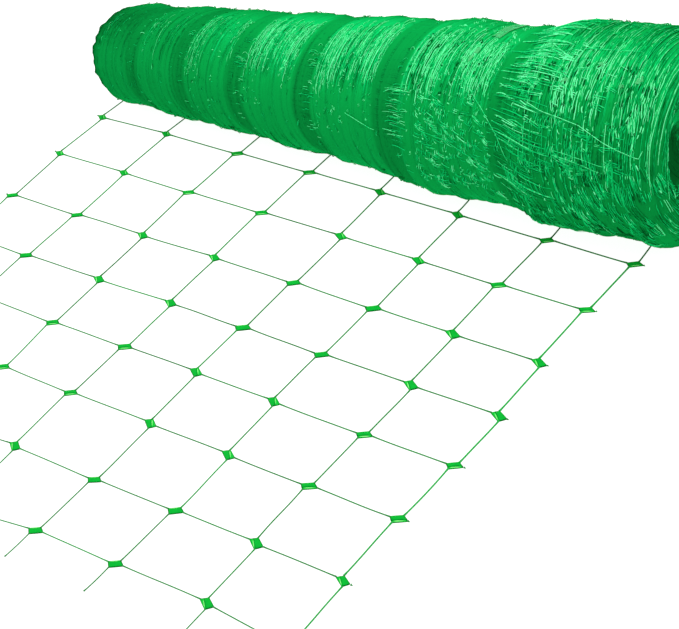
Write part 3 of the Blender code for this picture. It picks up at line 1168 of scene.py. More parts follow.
@dataclass
class WaistStrands(Layer):
    """Strands across the netting that bridge the waists and fan out of the last one."""

    name: ClassVar[str] = "waist_strands"
    spacing: float = 0.0032
    points: int = 8
    gauge: Pair = (0.0008, 0.0011)
    reach: Pair = (0.004, 0.012)    # how far they run in under the crowns
    bridge_turn: float = 0.5        # how many degrees a bridging strand strays and swings
    bridge_waves: Pair = (0.5, 1.0)
    bridge_height: Pair = (-0.0019, -0.0012)
    bridge_dip: Pair = (0.0024, 0.25)
    bridge_tint: Pair = (0.05, 0.08)
    tufts: Tuple[HairTuft, ...] = (
        HairTuft(1, 128, 14, 6, (0.008, 0.014)),
        HairTuft(2, 119, 2.5, 5, (0.014, 0.024)), HairTuft(2, 137, 2.0, 9, (0.014, 0.026)),
        HairTuft(2, 143, 1.5, 7, (0.012, 0.024)), HairTuft(2, 160, 12, 6, (0.006, 0.012)),
        HairTuft(3, 128, 3, 8, (0.012, 0.022)), HairTuft(3, 136, 3, 9, (0.012, 0.022)),
        HairTuft(3, 161, 2, 8, (0.012, 0.026)), HairTuft(3, 180, 14, 12, (0.006, 0.014)),
        HairTuft(4, 146, 1.0, 14, (0.024, 0.055), 0.026),
        HairTuft(4, 154, 8, 20, (0.014, 0.044), 0.014),
        HairTuft(4, 172, 12, 30, (0.010, 0.036), 0.010), HairTuft(4, 120, 9, 7, (0.008, 0.018)))
    stray_hairs: int = 26           # for each waist, all round
    stray_spread: float = 140.0     # in degrees
    stray_length: Pair = (0.006, 0.014)
    hair_root: float = 0.014        # how far from the crown's edge a hair may start
    hair_drift: Pair = (0.4, 0.6)    # degrees that it drifts over its length
    hair_bow: Pair = (-3.0, 2.0)    # and bows
    hair_height: Pair = (0.0006, 0.0020)
    hair_dip: Pair = (0.0012, 0.25)
    hair_gauge: Pair = (0.0004, 0.0009)
    hair_tint: Pair = (0.9, 0.5)
    hair_clear: float = 0.002       # least height of a hair over the floor
    fan_count: int = 440
    fan_points: int = 10
    fan_roots: Pair = (7.0, 1.6)    # degrees between bunches, and a bunch's spread
    fan_start: Pair = (1.046, 1.110)
    fan_length: Pair = (0.030, 0.090)
    # Two angles round the roll, and how many degrees a strand drifts there for each metre
    fan_drift: Tuple[Pair, Pair] = ((120.0, 185.0), (35.0, 85.0))
    fan_spread: float = 10.0        # how much that varies
    fan_bow: float = 0.8            # spread of its bow, in degrees
    fan_height: Pair = (0.0002, 0.0018)
    fan_dip: Pair = (0.0014, 0.20)
    fan_gauge: Pair = (0.0006, 0.0012)
    fan_tint: Pair = (1.0, 0.5)
    fan_depth: float = 0.6          # how much of the winding's own tint it takes
    seed: int = 37

    def fill(self) -> None:
        """Lay the bridging strands, the hairs and the fan."""
        for index, waist in enumerate(WAISTS):
            count = round(math.tau * self.skin.radius(waist.middle) / self.spacing)
            for step in range(count):
                self._bridge(waist, 360.0 * step / count)
            self._hairs(HairTuft(index, self.rng.uniform(0, 360), self.stray_spread,
                                 self.stray_hairs, self.stray_length))
        for tuft in self.tufts:
            self._hairs(tuft)
        for _ in range(self.fan_count):
            self._fan()

    def _bridge(self, waist: Zone, angle: float) -> None:
        """Lay one strand from crown to crown, mostly sunk.

        Args:
            waist: The waist that it bridges.
            angle: Where round the roll.
        """
        rng = self.rng
        run = np.linspace(waist.start - rng.uniform(*self.reach),
                          waist.end + rng.uniform(*self.reach), self.points)
        share = np.linspace(0, 1, self.points)
        across = (angle + rng.normal(0, self.bridge_turn)
                  + wander(rng, share, self.bridge_turn, self.bridge_waves))
        lift = dipped(share, rng.uniform(*self.bridge_height), *self.bridge_dip)
        gauge = rng.uniform(*self.gauge)
        tint = self.winding.tint(run, across) + rng.normal(*self.bridge_tint)
        self.lay(run, across, lift, gauge, tint)

    def _hairs(self, tuft: HairTuft) -> None:
        """Lay a tuft's loose hairs, from a crown's edge out over the waist.

        Args:
            tuft: The tuft.
        """
        rng = self.rng
        share = np.linspace(0, 1, self.points)
        for _ in range(tuft.count):
            length = rng.uniform(*tuft.length)
            root = (WAISTS[tuft.waist].end + tuft.inset
                    + rng.uniform(-self.hair_root, self.hair_root))
            angle = (rng.normal(tuft.angle, tuft.spread) + rng.normal(*self.hair_drift) * share
                     + rng.normal(*self.hair_bow) * share * (1 - share))
            lift = dipped(share, rng.uniform(*self.hair_height), *self.hair_dip)
            gauge, tint = rng.uniform(*self.hair_gauge), rng.normal(*self.hair_tint)
            self.lay(root - length * share, angle, lift, gauge, tint, self.hair_clear)

    def _fan(self) -> None:
        """Lay one of the strands that fan out of the last waist over the large crown."""
        rng = self.rng
        apart, spread = self.fan_roots
        root = round(rng.uniform(0, 360) / apart) * apart + rng.normal(0, spread)
        start = rng.uniform(*self.fan_start)
        share = np.linspace(0, 1, self.fan_points)
        run = start + rng.uniform(*self.fan_length) * share
        drift = np.interp(root, *self.fan_drift) + rng.normal(0, self.fan_spread)
        angle = (root + (run - start) * drift
                 + self.fan_bow * np.sin(math.pi * share) * rng.normal(0, 1))
        lift = dipped(share, rng.uniform(*self.fan_height), *self.fan_dip)
        gauge = rng.uniform(*self.fan_gauge)
        tint = self.winding.tint(run, angle) * self.fan_depth + rng.normal(*self.fan_tint)
        self.lay(run, angle, lift, gauge, tint)


@dataclass(frozen=True)
class Tangle:
    """A patch of the roll where short strands lie at odds, in groups side by side."""

    zone: Zone
    angles: Pair
    count: int
    heading: float                  # degrees from along the roll
    spread: float                   # how far headings vary from it
    length: Pair
    tone: float
    group: int = 1                  # most strands side by side
    thick: float = 1.0              # gauge against that of the rest
    proud: float = 0.0              # how much higher they lie than the rest


@dataclass
class LooseStrands(Layer):
    """Strands that cross the winding: tangles and long strays."""

    name: ClassVar[str] = "loose_strands"
    step: float = 0.0035
    gauge: Pair = (0.0005, 0.0008)
    height: Pair = (0.0004, 0.0013)
    apart: Pair = (0.0016, 0.0028)    # between the strands of a group
    slip: float = 0.003             # how far they are shifted along one another
    curl: float = 7.0               # radians for each metre that a strand turns
    dip: Pair = (0.0010, 0.22)
    tone_spread: float = 0.35       # how much groups differ in tint
    strand_spread: float = 0.25     # and the strands of a group
    sparkle: float = 0.15           # and the points of a strand
    depth: float = 0.3              # how much of the winding's own tint they take
    stray_gauge: float = 0.0007
    stray_height: float = 0.0012
    stray_dip: Pair = (0.0010, 0.08)
    stray_points: int = 8           # for each point that a stray passes
    stray_swing: float = 0.15       # in degrees
    stray_waves: Pair = (1.0, 2.6)
    tangles: Tuple[Tangle, ...] = (
        # Beads at the lower ends of the sheens
        Tangle(Zone(0.302, 0.340), (138, 162), 14, 90, 60, (0.002, 0.004), 1.1, 1, 1.2),
        Tangle(Zone(0.300, 0.400), (150, 205), 20, 90, 40, (0.003, 0.006), 0.7, 2, 1.2),
        Tangle(Zone(0.462, 0.520), (138, 176), 30, 96, 40, (0.002, 0.006), 1.1, 2, 1.1),
        Tangle(Zone(0.560, 0.600), (136, 150), 16, 96, 40, (0.002, 0.006), 1.4, 2, 1.1),
        Tangle(Zone(0.648, 0.730), (142, 184), 42, 96, 30, (0.003, 0.008), 1.0, 2, 1.0),
        Tangle(Zone(0.720, 0.796), (138, 168), 32, 96, 40, (0.002, 0.006), 1.1, 2, 1.0),
        Tangle(Zone(0.030, 0.300), (90, 160), 50, 90, 50, (0.002, 0.005), 0.6, 1, 1.2),
        Tangle(Zone(0.040, 0.860), (150, 206), 70, 92, 18, (0.006, 0.016), 0.45, 3, 0.9),
        # Strokes at odds in the sheens, light as their painted highlight
        Tangle(Zone(0.302, 0.410), (96, 140), 34, 60, 50, (0.003, 0.008), 1.0),
        Tangle(Zone(0.464, 0.598), (100, 138), 80, 60, 60, (0.003, 0.008), 1.4),
        Tangle(Zone(0.648, 0.796), (102, 142), 90, 60, 60, (0.003, 0.009), 1.4),
        Tangle(Zone(0.862, 1.044), (100, 144), 130, 50, 60, (0.003, 0.010), 1.4, 2),
        # The sixth crown's lower half
        Tangle(Zone(0.896, 1.050), (140, 204), 120, 96, 14, (0.006, 0.018), 0.9, 4, 1.3),
        Tangle(Zone(0.890, 1.050), (144, 204), 80, 18, 12, (0.008, 0.024), 0.9, 3, 1.2),
        Tangle(Zone(0.890, 1.050), (148, 204), 46, 42, 10, (0.008, 0.026), 1.1, 4, 1.2),
        Tangle(Zone(0.880, 1.050), (140, 204), 60, 92, 50, (0.002, 0.005), 1.6, 1, 1.6),
        Tangle(Zone(0.880, 1.040), (64, 104), 60, 76, 30, (0.005, 0.016), 1.4, 3, 1.2),
        Tangle(Zone(0.966, 0.994), (108, 122), 18, 90, 24, (0.005, 0.012), 3.2, 2, 1.3),
        # Dark strokes among the sheens: painted shade in gaps
        Tangle(Zone(0.866, 1.040), (98, 144), 46, 88, 10, (0.005, 0.014), -1.3, 2, 1.4),
        # The large crown: dark strokes as painted shade in gaps, then lines along the roll, strokes
        # round it and pale commas as painted highlights
        Tangle(Zone(1.100, 1.170), (116, 142), 26, 90, 10, (0.006, 0.012), -1.4, 3, 1.8),
        Tangle(Zone(1.170, 1.250), (110, 140), 26, 84, 8, (0.008, 0.016), -1.3, 2, 1.6),
        Tangle(Zone(1.288, 1.338), (110, 150), 24, 88, 6, (0.010, 0.020), -1.5, 2, 1.8),
        Tangle(Zone(1.090, 1.180), (104, 142), 26, 10, 8, (0.010, 0.040), 1.5, 3, 1.5),
        Tangle(Zone(1.160, 1.280), (100, 140), 22, 12, 8, (0.010, 0.036), 1.2, 2, 1.3),
        Tangle(Zone(1.100, 1.300), (146, 180), 32, 12, 8, (0.010, 0.046), 0.9, 3, 1.3),
        Tangle(Zone(1.100, 1.180), (108, 142), 22, 86, 10, (0.008, 0.018), 1.6, 3, 1.5),
        Tangle(Zone(1.110, 1.330), (142, 176), 90, 100, 6, (0.008, 0.020), 0.7, 4, 1.6),
        Tangle(Zone(1.110, 1.330), (144, 176), 36, 14, 10, (0.005, 0.014), 0.8, 3, 1.3),
        # Dark strokes among them: painted shade
        Tangle(Zone(1.110, 1.330), (144, 178), 24, 94, 8, (0.008, 0.016), -0.9, 3, 1.6),
        Tangle(Zone(1.070, 1.240), (160, 214), 90, 84, 5, (0.014, 0.036), 0.6, 6, 1.3),
        Tangle(Zone(1.220, 1.400), (160, 214), 90, 76, 5, (0.016, 0.046), 0.7, 6, 1.3),
        # Dark strokes: painted shade
        Tangle(Zone(1.070, 1.400), (158, 212), 50, 80, 6, (0.016, 0.036), -0.5, 3, 1.3),
        Tangle(Zone(1.100, 1.370), (140, 202), 40, 86, 12, (0.006, 0.013), 1.8, 1, 1.7),
        Tangle(Zone(1.176, 1.246), (114, 140), 14, 82, 5, (0.010, 0.024), 2.6, 3, 1.7),
        Tangle(Zone(1.290, 1.336), (114, 148), 11, 88, 5, (0.012, 0.030), 2.7, 3, 1.8),
        # Tufts on the outline
        Tangle(Zone(0.000, 1.330), (46, 58), 130, 80, 30, (0.005, 0.012), 0.1, 2, 1.2, 0.0012),
        Tangle(Zone(0.000, 1.360), (212, 224), 90, 80, 30, (0.004, 0.010), 0.0, 2, 1.2, 0.0004),
        # The unseen back
        Tangle(Zone(0.050, 1.290), (-60, 50), 420, 60, 50, (0.006, 0.024), 0.5, 2))
    # Long strays by (run, angle) of the points that they pass, with the tint of each
    strays: Tuple[Tuple[Tuple[Pair, ...], float], ...] = (
        (((1.110, 139.0), (1.160, 145.0), (1.236, 149.0), (1.280, 155.0), (1.332, 160.0),
          (1.337, 155.5)), 1.9),
        (((1.180, 166.5), (1.224, 168.0), (1.280, 170.5)), 1.4),
        (((1.184, 164.0), (1.232, 165.5), (1.286, 167.0)), 1.2),
        (((0.736, 167.0), (0.772, 172.0), (0.800, 176.0)), 1.3),
        (((0.980, 129.0), (1.008, 139.0), (1.036, 149.0), (1.068, 163.0), (1.090, 178.0)), 1.2),
        (((1.116, 101.0), (1.148, 107.0), (1.184, 114.0)), 1.5),
        (((1.148, 113.0), (1.160, 110.0), (1.174, 106.0)), 1.3),
        (((1.190, 106.0), (1.240, 105.0), (1.300, 104.0)), 1.1),
        (((0.905, 168.0), (0.960, 172.0), (1.010, 181.0)), 0.9))
    seed: int = 53

    def fill(self) -> None:
        """Lay the tangles and the long strays."""
        for tangle in self.tangles:
            for _ in range(tangle.count):
                self._group(tangle)
        for stops, tone in self.strays:
            knots = np.array(stops)
            place = np.linspace(0, len(stops) - 1, self.stray_points * len(stops))
            share = place / place[-1]
            run, angle = (np.interp(place, np.arange(len(stops)), row) for row in knots.T)
            angle = angle + wander(self.rng, share, self.stray_swing, self.stray_waves)
            lift = dipped(share, self.stray_height, *self.stray_dip)
            self.lay(run, angle, lift, self.stray_gauge, tone)

    def _group(self, tangle: Tangle) -> None:
        """Lay a few short strands side by side, at odds with the winding.

        Args:
            tangle: The patch that they belong to.
        """
        rng, winding = self.rng, self.winding
        length = rng.uniform(*tangle.length)
        count = max(4, round(length / self.step))
        heading = math.radians(tangle.heading + rng.normal(0, tangle.spread))
        turning = rng.normal(0, self.curl) * length
        headings = heading + np.cumsum(turning + np.zeros(count)) / count
        step = length / count
        start = rng.uniform(tangle.zone.start, tangle.zone.end)
        degrees = math.degrees(1.0 / self.skin.radius(start))
        run = start + np.cumsum(np.cos(headings)) * step
        angle = rng.uniform(*tangle.angles) + np.cumsum(np.sin(headings)) * step * degrees
        share = np.linspace(0, 1, count)
        tone = rng.normal(tangle.tone, self.tone_spread)
        for member in range(rng.integers(1, tangle.group + 1)):
            off = member * tangle.thick * rng.uniform(*self.apart)
            slip = rng.normal(0, self.slip) if member else 0.0
            line = run - off * math.sin(heading) + slip * math.cos(heading)
            turn = angle + (off * math.cos(heading) + slip * math.sin(heading)) * degrees
            lift = (dipped(share, tangle.proud + rng.uniform(*self.height), *self.dip)
                    + self.follow * winding.ruffles(line, turn))
            gauge = tangle.thick * rng.uniform(*self.gauge)
            tint = (tone + rng.normal(0, self.strand_spread)
                    + rng.normal(0, self.sparkle, count) + self.depth * winding.tint(line, turn))
            self.lay(line, turn, lift, gauge, tint)


@dataclass(frozen=True)
class Scrap:
    """A small scrap of film that lies on the winding."""

    run: float
    angle: float
    size: Pair                      # along the roll and round it
    skew: float                     # how far it slants along the roll


@dataclass
class FilmScraps:
    """Scraps of dull film between the strands of the large crowns."""

    scraps: Tuple[Scrap, ...] = (
        Scrap(0.998, 80.0, (0.024, 0.090), 0.004), Scrap(0.984, 110.0, (0.010, 0.018), 0.001),
        Scrap(0.981, 117.0, (0.007, 0.016), 0.001),
        Scrap(1.190, 127.0, (0.010, 0.010), 0.003), Scrap(1.244, 115.0, (0.009, 0.008), 0.0),
        Scrap(1.312, 121.0, (0.010, 0.014), 0.002), Scrap(1.292, 126.0, (0.008, 0.008), 0.0),
        Scrap(1.392, 166.0, (0.012, 0.012), 0.0))
    points: int = 14
    lift: float = 0.0014
    thickness: float = 0.0003
    rag: float = 0.22               # how uneven the edge is
    tint: Pair = (0.2, 0.6)     # and how much it varies
    seed: int = 67

    def build(self, skin: RollSkin, finish: bpy.types.Material) -> bpy.types.Object:
        """Build the scraps as thin closed sheets.

        Args:
            skin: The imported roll's skin.
            finish: Their material.

        Returns:
            The finished piece.
        """
        rng = np.random.default_rng(self.seed)
        points, faces, tints = [], [], []
        turn = math.tau * np.arange(self.points) / self.points
        for scrap in self.scraps:
            reach = 1 + rng.normal(0, self.rag, self.points)
            degrees = math.degrees(scrap.size[1] / 2 / skin.radius(scrap.run))
            run = scrap.run + (scrap.size[0] / 2 * np.cos(turn) + scrap.skew * np.sin(turn)) * reach
            angle = scrap.angle - degrees * np.sin(turn) * reach
            base = len(points) * (self.points + 1)
            for height in (self.lift, self.lift + self.thickness):
                points.append(skin.at(np.append(run, scrap.run), np.append(angle, scrap.angle),
                                      height))
                tints.append(rng.normal(*self.tint, self.points + 1))
            upper, lower = base + self.points + 1, base
            for index, after in ring_pairs(self.points):
                faces.append((upper + after, upper + index, upper + self.points))
                faces.append((lower + index, lower + after, lower + self.points))
                faces.append((upper + index, upper + after, lower + after, lower + index))
        mesh = tinted_mesh("film_scraps", points, faces, tints)
        mesh.materials.append(finish)
        return link(mesh, "film_scraps")


@dataclass
class DrawnKnot:
    """One drawn knot of the netting, lying flat, with its folded lip.

    The outline runs through four ports, where the strands join it, and is drawn in between them.
    Its tint paints a highlight beside the fold and shade in the crease, on the rim and beneath.
    """

    ports: Tuple[Pair, ...]     # right, back, left and front, from the middle
    fold: Tuple[Pair, Pair]     # the fold's two ends
    pull_in: float = 1.04           # below 1 draws the sides in between the ports, above 1 out
    height: float = 0.0040
    strand_half: float = 0.0010
    strand_height: float = 0.0016
    side_points: int = 9
    rings: Tuple[float, ...] = (1.0, 0.95, 0.87, 0.77, 0.66, 0.54, 0.42, 0.29, 0.15)
    lip_step: float = 0.0011        # how far the lip lies under the rest of the knot
    lip_blend: float = 0.0012       # width of the slope down to it
    lip_glint: Pair = (0.0013, 0.0008)    # the painted highlight, a pale stripe: distance, half width
    glint_ends: Pair = (1.6, 0.36)    # how full it is, and how soon it fades
    crease: Pair = (0.0006, 0.0007)    # depth and half width of the fold
    shoulder: float = 0.55          # height of the rim against a strand's
    dome_power: float = 2.2         # above 2 makes the dome's top flatter
    tint: float = -0.1
    lip_tint: float = 0.2
    # painted shade in the crease
    crease_tint: float = -1.0
    # the painted highlight's stripe
    glint_tint: float = 2.2
    rim_tints: Tuple[Pair, ...] = ((0.9, -0.7), (0.8, -0.3))    # ring and tint: painted shade on the sloping rim
    base: Triple = (0.97, 0.0001, -0.4)    # size, height and tint beneath, a painted shade

    def outline(self) -> np.ndarray:
        """Return the outline's points, in order round the knot."""
        sides = []
        ends = [np.array(port) for port in self.ports]
        for here, there in zip(ends, ends[1:] + ends[:1]):
            leave = here + self._beside(here, 1.0)
            reach = there + self._beside(there, -1.0)
            control = (leave + reach) / 2 * self.pull_in
            share = np.linspace(0, 1, self.side_points)[:, None]
            sides.append(leave * (1 - share) ** 2 + 2 * control * share * (1 - share)
                         + reach * share ** 2)
        return np.concatenate(sides)

    def _beside(self, port: np.ndarray, side: float) -> np.ndarray:
        """Return the step from a port's middle to the left (1) or right (-1) of its strand."""
        outwards = port / np.linalg.norm(port)
        return np.array((-outwards[1], outwards[0])) * side * self.strand_half

    def mesh(self, name: str) -> bpy.types.Mesh:
        """Build the knot's mesh.

        Args:
            name: Name of the mesh.

        Returns:
            A closed mesh with its tint stored.
        """
        outline = self.outline()
        around = len(outline)
        points, tints = [], []
        for ring in self.rings:
            flat = outline * ring
            height, tint = self._relief(flat, ring)
            points.append(np.column_stack([flat, height]))
            tints.append(tint)
        height, tint = self._relief(np.zeros((1, 2)), 0.0)
        size, low, shade = self.base
        under = np.column_stack([outline * size, np.full(around, low)])
        points += [np.column_stack([np.zeros((1, 2)), height]), under, np.array([[0, 0, low]])]
        tints += [tint, np.full(around + 1, shade)]
        top, base = len(self.rings) * around, len(self.rings) * around + 1
        faces: List[Tuple[int, ...]] = []
        for index, after in ring_pairs(around):
            for row in range(len(self.rings) - 1):
                outer, inner = row * around, (row + 1) * around
                faces.append((outer + index, outer + after, inner + after, inner + index))
            inner = (len(self.rings) - 1) * around
            faces.append((inner + index, inner + after, top))
            faces.append((after, index, base + index, base + after))
            faces.append((base + after, base + index, base + around))
        return tinted_mesh(name, points, faces, tints)

    def _relief(self, flat: np.ndarray, ring: float) -> Tuple[np.ndarray, np.ndarray]:
        """Return the height and tint of points on one ring.

        Args:
            flat: The ring's points on the floor.
            ring: Its size against the outline.

        Returns:
            Height and tint of each point.
        """
        start, end = (np.array(point) for point in self.fold)
        line = (end - start) / np.linalg.norm(end - start)
        # Positive on the lip's side of the fold
        off = (flat - start) @ np.array((line[1], -line[0]))
        along = (flat - start) @ line / np.linalg.norm(end - start)
        lip = np.clip(off / self.lip_blend + 0.5, 0, 1)
        dome = math.sqrt(max(0.0, 1 - ring ** self.dome_power))
        depth, width = self.crease
        crease = np.exp(-(off / width) ** 2)
        height = (self.strand_height * (self.shoulder + (1 - self.shoulder) * (1 - ring))
                  + (self.height - self.strand_height) * dome)
        height = height - self.lip_step * lip * dome
        height = height - depth * crease * dome
        place, half = self.lip_glint
        full, fade = self.glint_ends
        window = np.clip(full - np.abs(along - 0.5) / fade, 0, 1)
        painted_glint = np.exp(-((off - place) / half) ** 2) * window
        # Painted shade in the crease and on the rim, a painted highlight along the stripe
        tint = (self.lip_tint * lip + self.tint + self.crease_tint * crease
                + self.glint_tint * painted_glint)
        for least, shade in self.rim_tints:
            tint = tint + shade * (ring > least)
        return np.broadcast_to(height, len(flat)), np.broadcast_to(tint, len(flat))


SQUARE_PORTS = ((0.0145, 0.0000), (-0.0040, 0.0115), (-0.0150, 0.0028), (0.0050, -0.0105))
FLAT_PORTS = ((0.0160, 0.0025), (0.0050, 0.0100), (-0.0135, -0.0020), (-0.0045, -0.0112))


@dataclass
class LooseNet:
    """The loose end: knots on a slightly uneven grid, with drawn strands between them."""

    columns: int = 8
    rows: int = 8
    pitch_across: float = 0.170
    pitch_along: float = 0.150
    tail: float = 0.48              # cut tails past the last row, in pitches
    stub: float = 0.003             # drawn-out plastic beside the knots of the edge strands
    gauge: float = 0.0015
    thinning: float = 0.045         # how much thinner each row's strands are than the last
    edge_gauge: float = 1.15        # the edge strand's gauge against the others'
    edge_tint: float = 0.9          # and how much lighter it is
    flatness: float = 0.75
    span_points: int = 13
    bows: Pair = (0.0004, 0.0002)    # of one swing and of two
    overlap: float = 0.0015         # how far a strand runs on into its knots
    flare: Tuple[float, int] = (0.35, 12)    # how much wider it is at a knot, and how steeply
    tint_spread: float = 0.25
    tip: Pair = (1.4, 0.4)      # gauge of a stub's root and tip against a strand's
    tip_tint: float = 0.2
    turn_spread: float = 0.03       # how much knots turn, in radians
    size_spread: float = 0.03       # and differ in size
    full_rows: int = 4              # rows whose knots have their full size
    shrink: float = 0.032           # how much smaller each row's are after those
    knot_rows: Tuple[str, ...] = ("ssffssff", "ssffssff", "ffssffss", "ffssffss") * 2
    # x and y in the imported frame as 1, across, along, across squared, across times along and
    # along squared, where across and along are a knot's even place from the middle
    lie_x: Tuple[float, ...] = (-0.0154, 1.006, 0.017, -0.060, -0.142, 0.016)
    lie_y: Tuple[float, ...] = (-0.1254, 0.003, -0.929, -0.016, 0.078, 0.084)
    # How far each knot has strayed from there in x and y, in millimetres
    stray: Tuple[Tuple[Tuple[int, int], ...], ...] = (
        ((-8, 8), (-8, 8), (4, 6), (5, 8), (-4, 7), (-5, 4), (6, 4), (2, 8)),
        ((-5, 8), (-1, 3), (-6, 0), (-3, 2), (8, 1), (6, -2), (-3, -1), (-7, 5)),
        ((2, -5), (3, -6), (-1, -8), (0, -8), (8, -8), (8, -8), (-1, -8), (-6, -8)),
        ((1, -3), (-7, -6), (8, -8), (8, -8), (0, -8), (-2, -8), (8, -8), (5, -8)),
        ((-6, 6), (-8, 6), (8, 0), (7, 2), (-2, 1), (-4, -2), (7, -1), (5, 4)),
        ((-3, 6), (-1, 2), (4, 8), (-4, 6), (7, 4), (5, 1), (-3, 2), (-5, 6)),
        ((1, -3), (2, -3), (-1, -5), (-4, 1), (6, -1), (5, 2), (-2, 2), (-5, 0)),
        ((0, 0), (-4, -4), (6, -5), (6, -8), (-7, 6), (-8, 7), (5, 7), (3, -6)))
    seed: int = 71

    def place(self, column: int, row: int) -> np.ndarray:
        """Return the floor position of a knot; row 1 is the first in front of the roll."""
        across = (column - (self.columns - 1) / 2) * self.pitch_across
        along = (row - (self.rows + 1) / 2) * self.pitch_along
        terms = np.array((1.0, across, along, across ** 2, across * along, along ** 2))
        return (np.array((terms @ self.lie_x, terms @ self.lie_y))
                + np.array(self.stray[row - 1][column]) / 1000)

    def kind(self, column: int, row: int) -> KnotKind:
        """Return how a knot was drawn out."""
        return KnotKind(self.knot_rows[row - 1][column])

    def lip_up(self, row: int) -> bool:
        """Say whether the knots of a row have their lip towards the roll; rows go in pairs."""
        return (row - 1) // 2 % 2 == 1

    def size(self, row: int) -> float:
        """Return the size of a row's knots; the last rows are drawn out less."""
        return 1.0 - self.shrink * max(0, row - self.full_rows)

    def ports(self, column: int, row: int) -> Dict[str, np.ndarray]:
        """Return where the strands join a knot, by side."""
        shape = SQUARE_PORTS if self.kind(column, row) is KnotKind.SQUARE else FLAT_PORTS
        place = self.place(column, row)
        return {side: place + np.array(port) * self.size(row)
                for side, port in zip(("right", "back", "left", "front"), shape)}

    def build_strands(self, skin: RollSkin, sweep: StrandSweep,
                      finish: bpy.types.Material) -> bpy.types.Object:
        """Build the strands between the knots, the tails, and the ends under the roll.

        Args:
            skin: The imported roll's skin.
            sweep: The sweep that keeps strands upright.
            finish: Their material.

        Returns:
            The finished piece.
        """
        rng = np.random.default_rng(self.seed)
        strands = Strands()
        for row in range(1, self.rows + 1):
            for column in range(self.columns):
                here = self.ports(column, row)
                if column < self.columns - 1:
                    self._span(strands, rng, row, here["right"],
                               self.ports(column + 1, row)["left"])
                else:
                    self._stub(strands, here["right"], 1.0)
                if column == 0:
                    self._stub(strands, here["left"], -1.0)
                edge = column == self.columns - 1
                if row < self.rows:
                    self._span(strands, rng, row, here["front"],
                               self.ports(column, row + 1)["back"], edge)
                else:
                    place = self.place(column, row)
                    end = place + (place - self.place(column, row - 1)) * self.tail
                    self._span(strands, rng, row, here["front"], end, edge)
                if row == 1:
                    self._span(strands, rng, row, here["back"],
                               self._under(skin, here["back"]))
        return sweep.make("net_strands", strands, finish, sides=8, flatness=self.flatness)

    def _under(self, skin: RollSkin, port: np.ndarray) -> np.ndarray:
        """Return where a strand meets the roll's underside, going straight back from a port."""
        return np.array((port[0], skin.seat(port[0], port[1], 2.0 * self.gauge)))

    def _span(self, strands: Strands, rng: np.random.Generator, row: int,
              start: np.ndarray, end: np.ndarray, edge: bool = False) -> None:
        """Lay one strand on the floor.

        Args:
            strands: Where the strand is kept.
            rng: Source of what is random.
            row: The row of knots that it belongs to.
            start: Its first end.
            end: Its other end.
            edge: Whether it is part of the stouter, greener edge strand.
        """
        share = np.linspace(0, 1, self.span_points)
        along = (end - start) / np.linalg.norm(end - start)
        bow = sum(rng.normal(0, size) * np.sin(math.pi * (swing + 1) * share)
                  for swing, size in enumerate(self.bows))
        reach = self.overlap * (2 * share - 1)
        flat = (start + (end - start) * share[:, None] + reach[:, None] * along
                + bow[:, None] * np.array((-along[1], along[0])))
        flare, steepness = self.flare
        gauge = (self.gauge * (1 - self.thinning * (row - 1))
                 * (1 + flare * (np.abs(2 * share - 1) ** steepness)))
        tint = rng.normal(0.0, self.tint_spread)
        if edge:
            gauge, tint = gauge * self.edge_gauge, tint + self.edge_tint
        strands.add(np.column_stack([flat, gauge * self.flatness]), gauge, tint)

    def _stub(self, strands: Strands, port: np.ndarray, side: float) -> None:
        """Lay the short drawn-out tip beside an edge knot.

        Args:
            strands: Where the strand is kept.
            port: Where it leaves the knot.
            side: 1 for the large end's side and -1 for the small end's.
        """
        share = np.linspace(0, 1, 4)
        flat = port + np.outer(share, (side * self.stub, 0.0))
        gauge = self.gauge * np.interp(share, (0, 1), self.tip)
        strands.add(np.column_stack([flat, gauge * self.flatness]), gauge, self.tip_tint)

    def knot_shapes(self, finish: bpy.types.Material) -> bpy.types.Collection:
        """Make the four knots: square and flat, each with its lip to the front or the back.

        Args:
            finish: Their material.

        Returns:
            A collection of the four, in the order of their names.
        """
        shapes = bpy.data.collections.new("knot_shapes")
        drawn = (("knot_0", SQUARE_PORTS, ((0.0082, -0.0050), (-0.0048, 0.0088))),
                 ("knot_1", SQUARE_PORTS, ((-0.0082, 0.0050), (0.0048, -0.0088))),
                 ("knot_2", FLAT_PORTS, ((-0.0055, -0.0078), (0.0125, 0.0026))),
                 ("knot_3", FLAT_PORTS, ((0.0050, 0.0072), (-0.0115, -0.0030))))
        for name, ports, fold in drawn:
            mesh = DrawnKnot(ports, fold).mesh(name)
            mesh.materials.append(finish)
            shapes.objects.link(bpy.data.objects.new(name, mesh))
        return shapes

    def build_knots(self, scatter: KnotScatter, finish: bpy.types.Material) -> bpy.types.Object:
        """Set the knots on the grid.

        Args:
            scatter: The scatter that sets knots on points.
            finish: Their material.

        Returns:
            The finished piece.
        """
        rng = np.random.default_rng(self.seed + 1)
        cells = [(column, row) for row in range(1, self.rows + 1)
                 for column in range(self.columns)]
        places = np.array([(*self.place(*cell), 0.0) for cell in cells])
        shapes = np.array([(2 if self.kind(*cell) is KnotKind.FLAT else 0)
                           + (1 if self.lip_up(cell[1]) else 0) for cell in cells])
        turns = np.zeros((len(cells), 3))
        turns[:, 2] = rng.normal(0, self.turn_spread, len(cells))
        sizes = (rng.normal(1.0, self.size_spread, len(cells))
                 * np.array([self.size(row) for _, row in cells]))
        return scatter.make("net_knots", places, shapes, turns, sizes, finish)


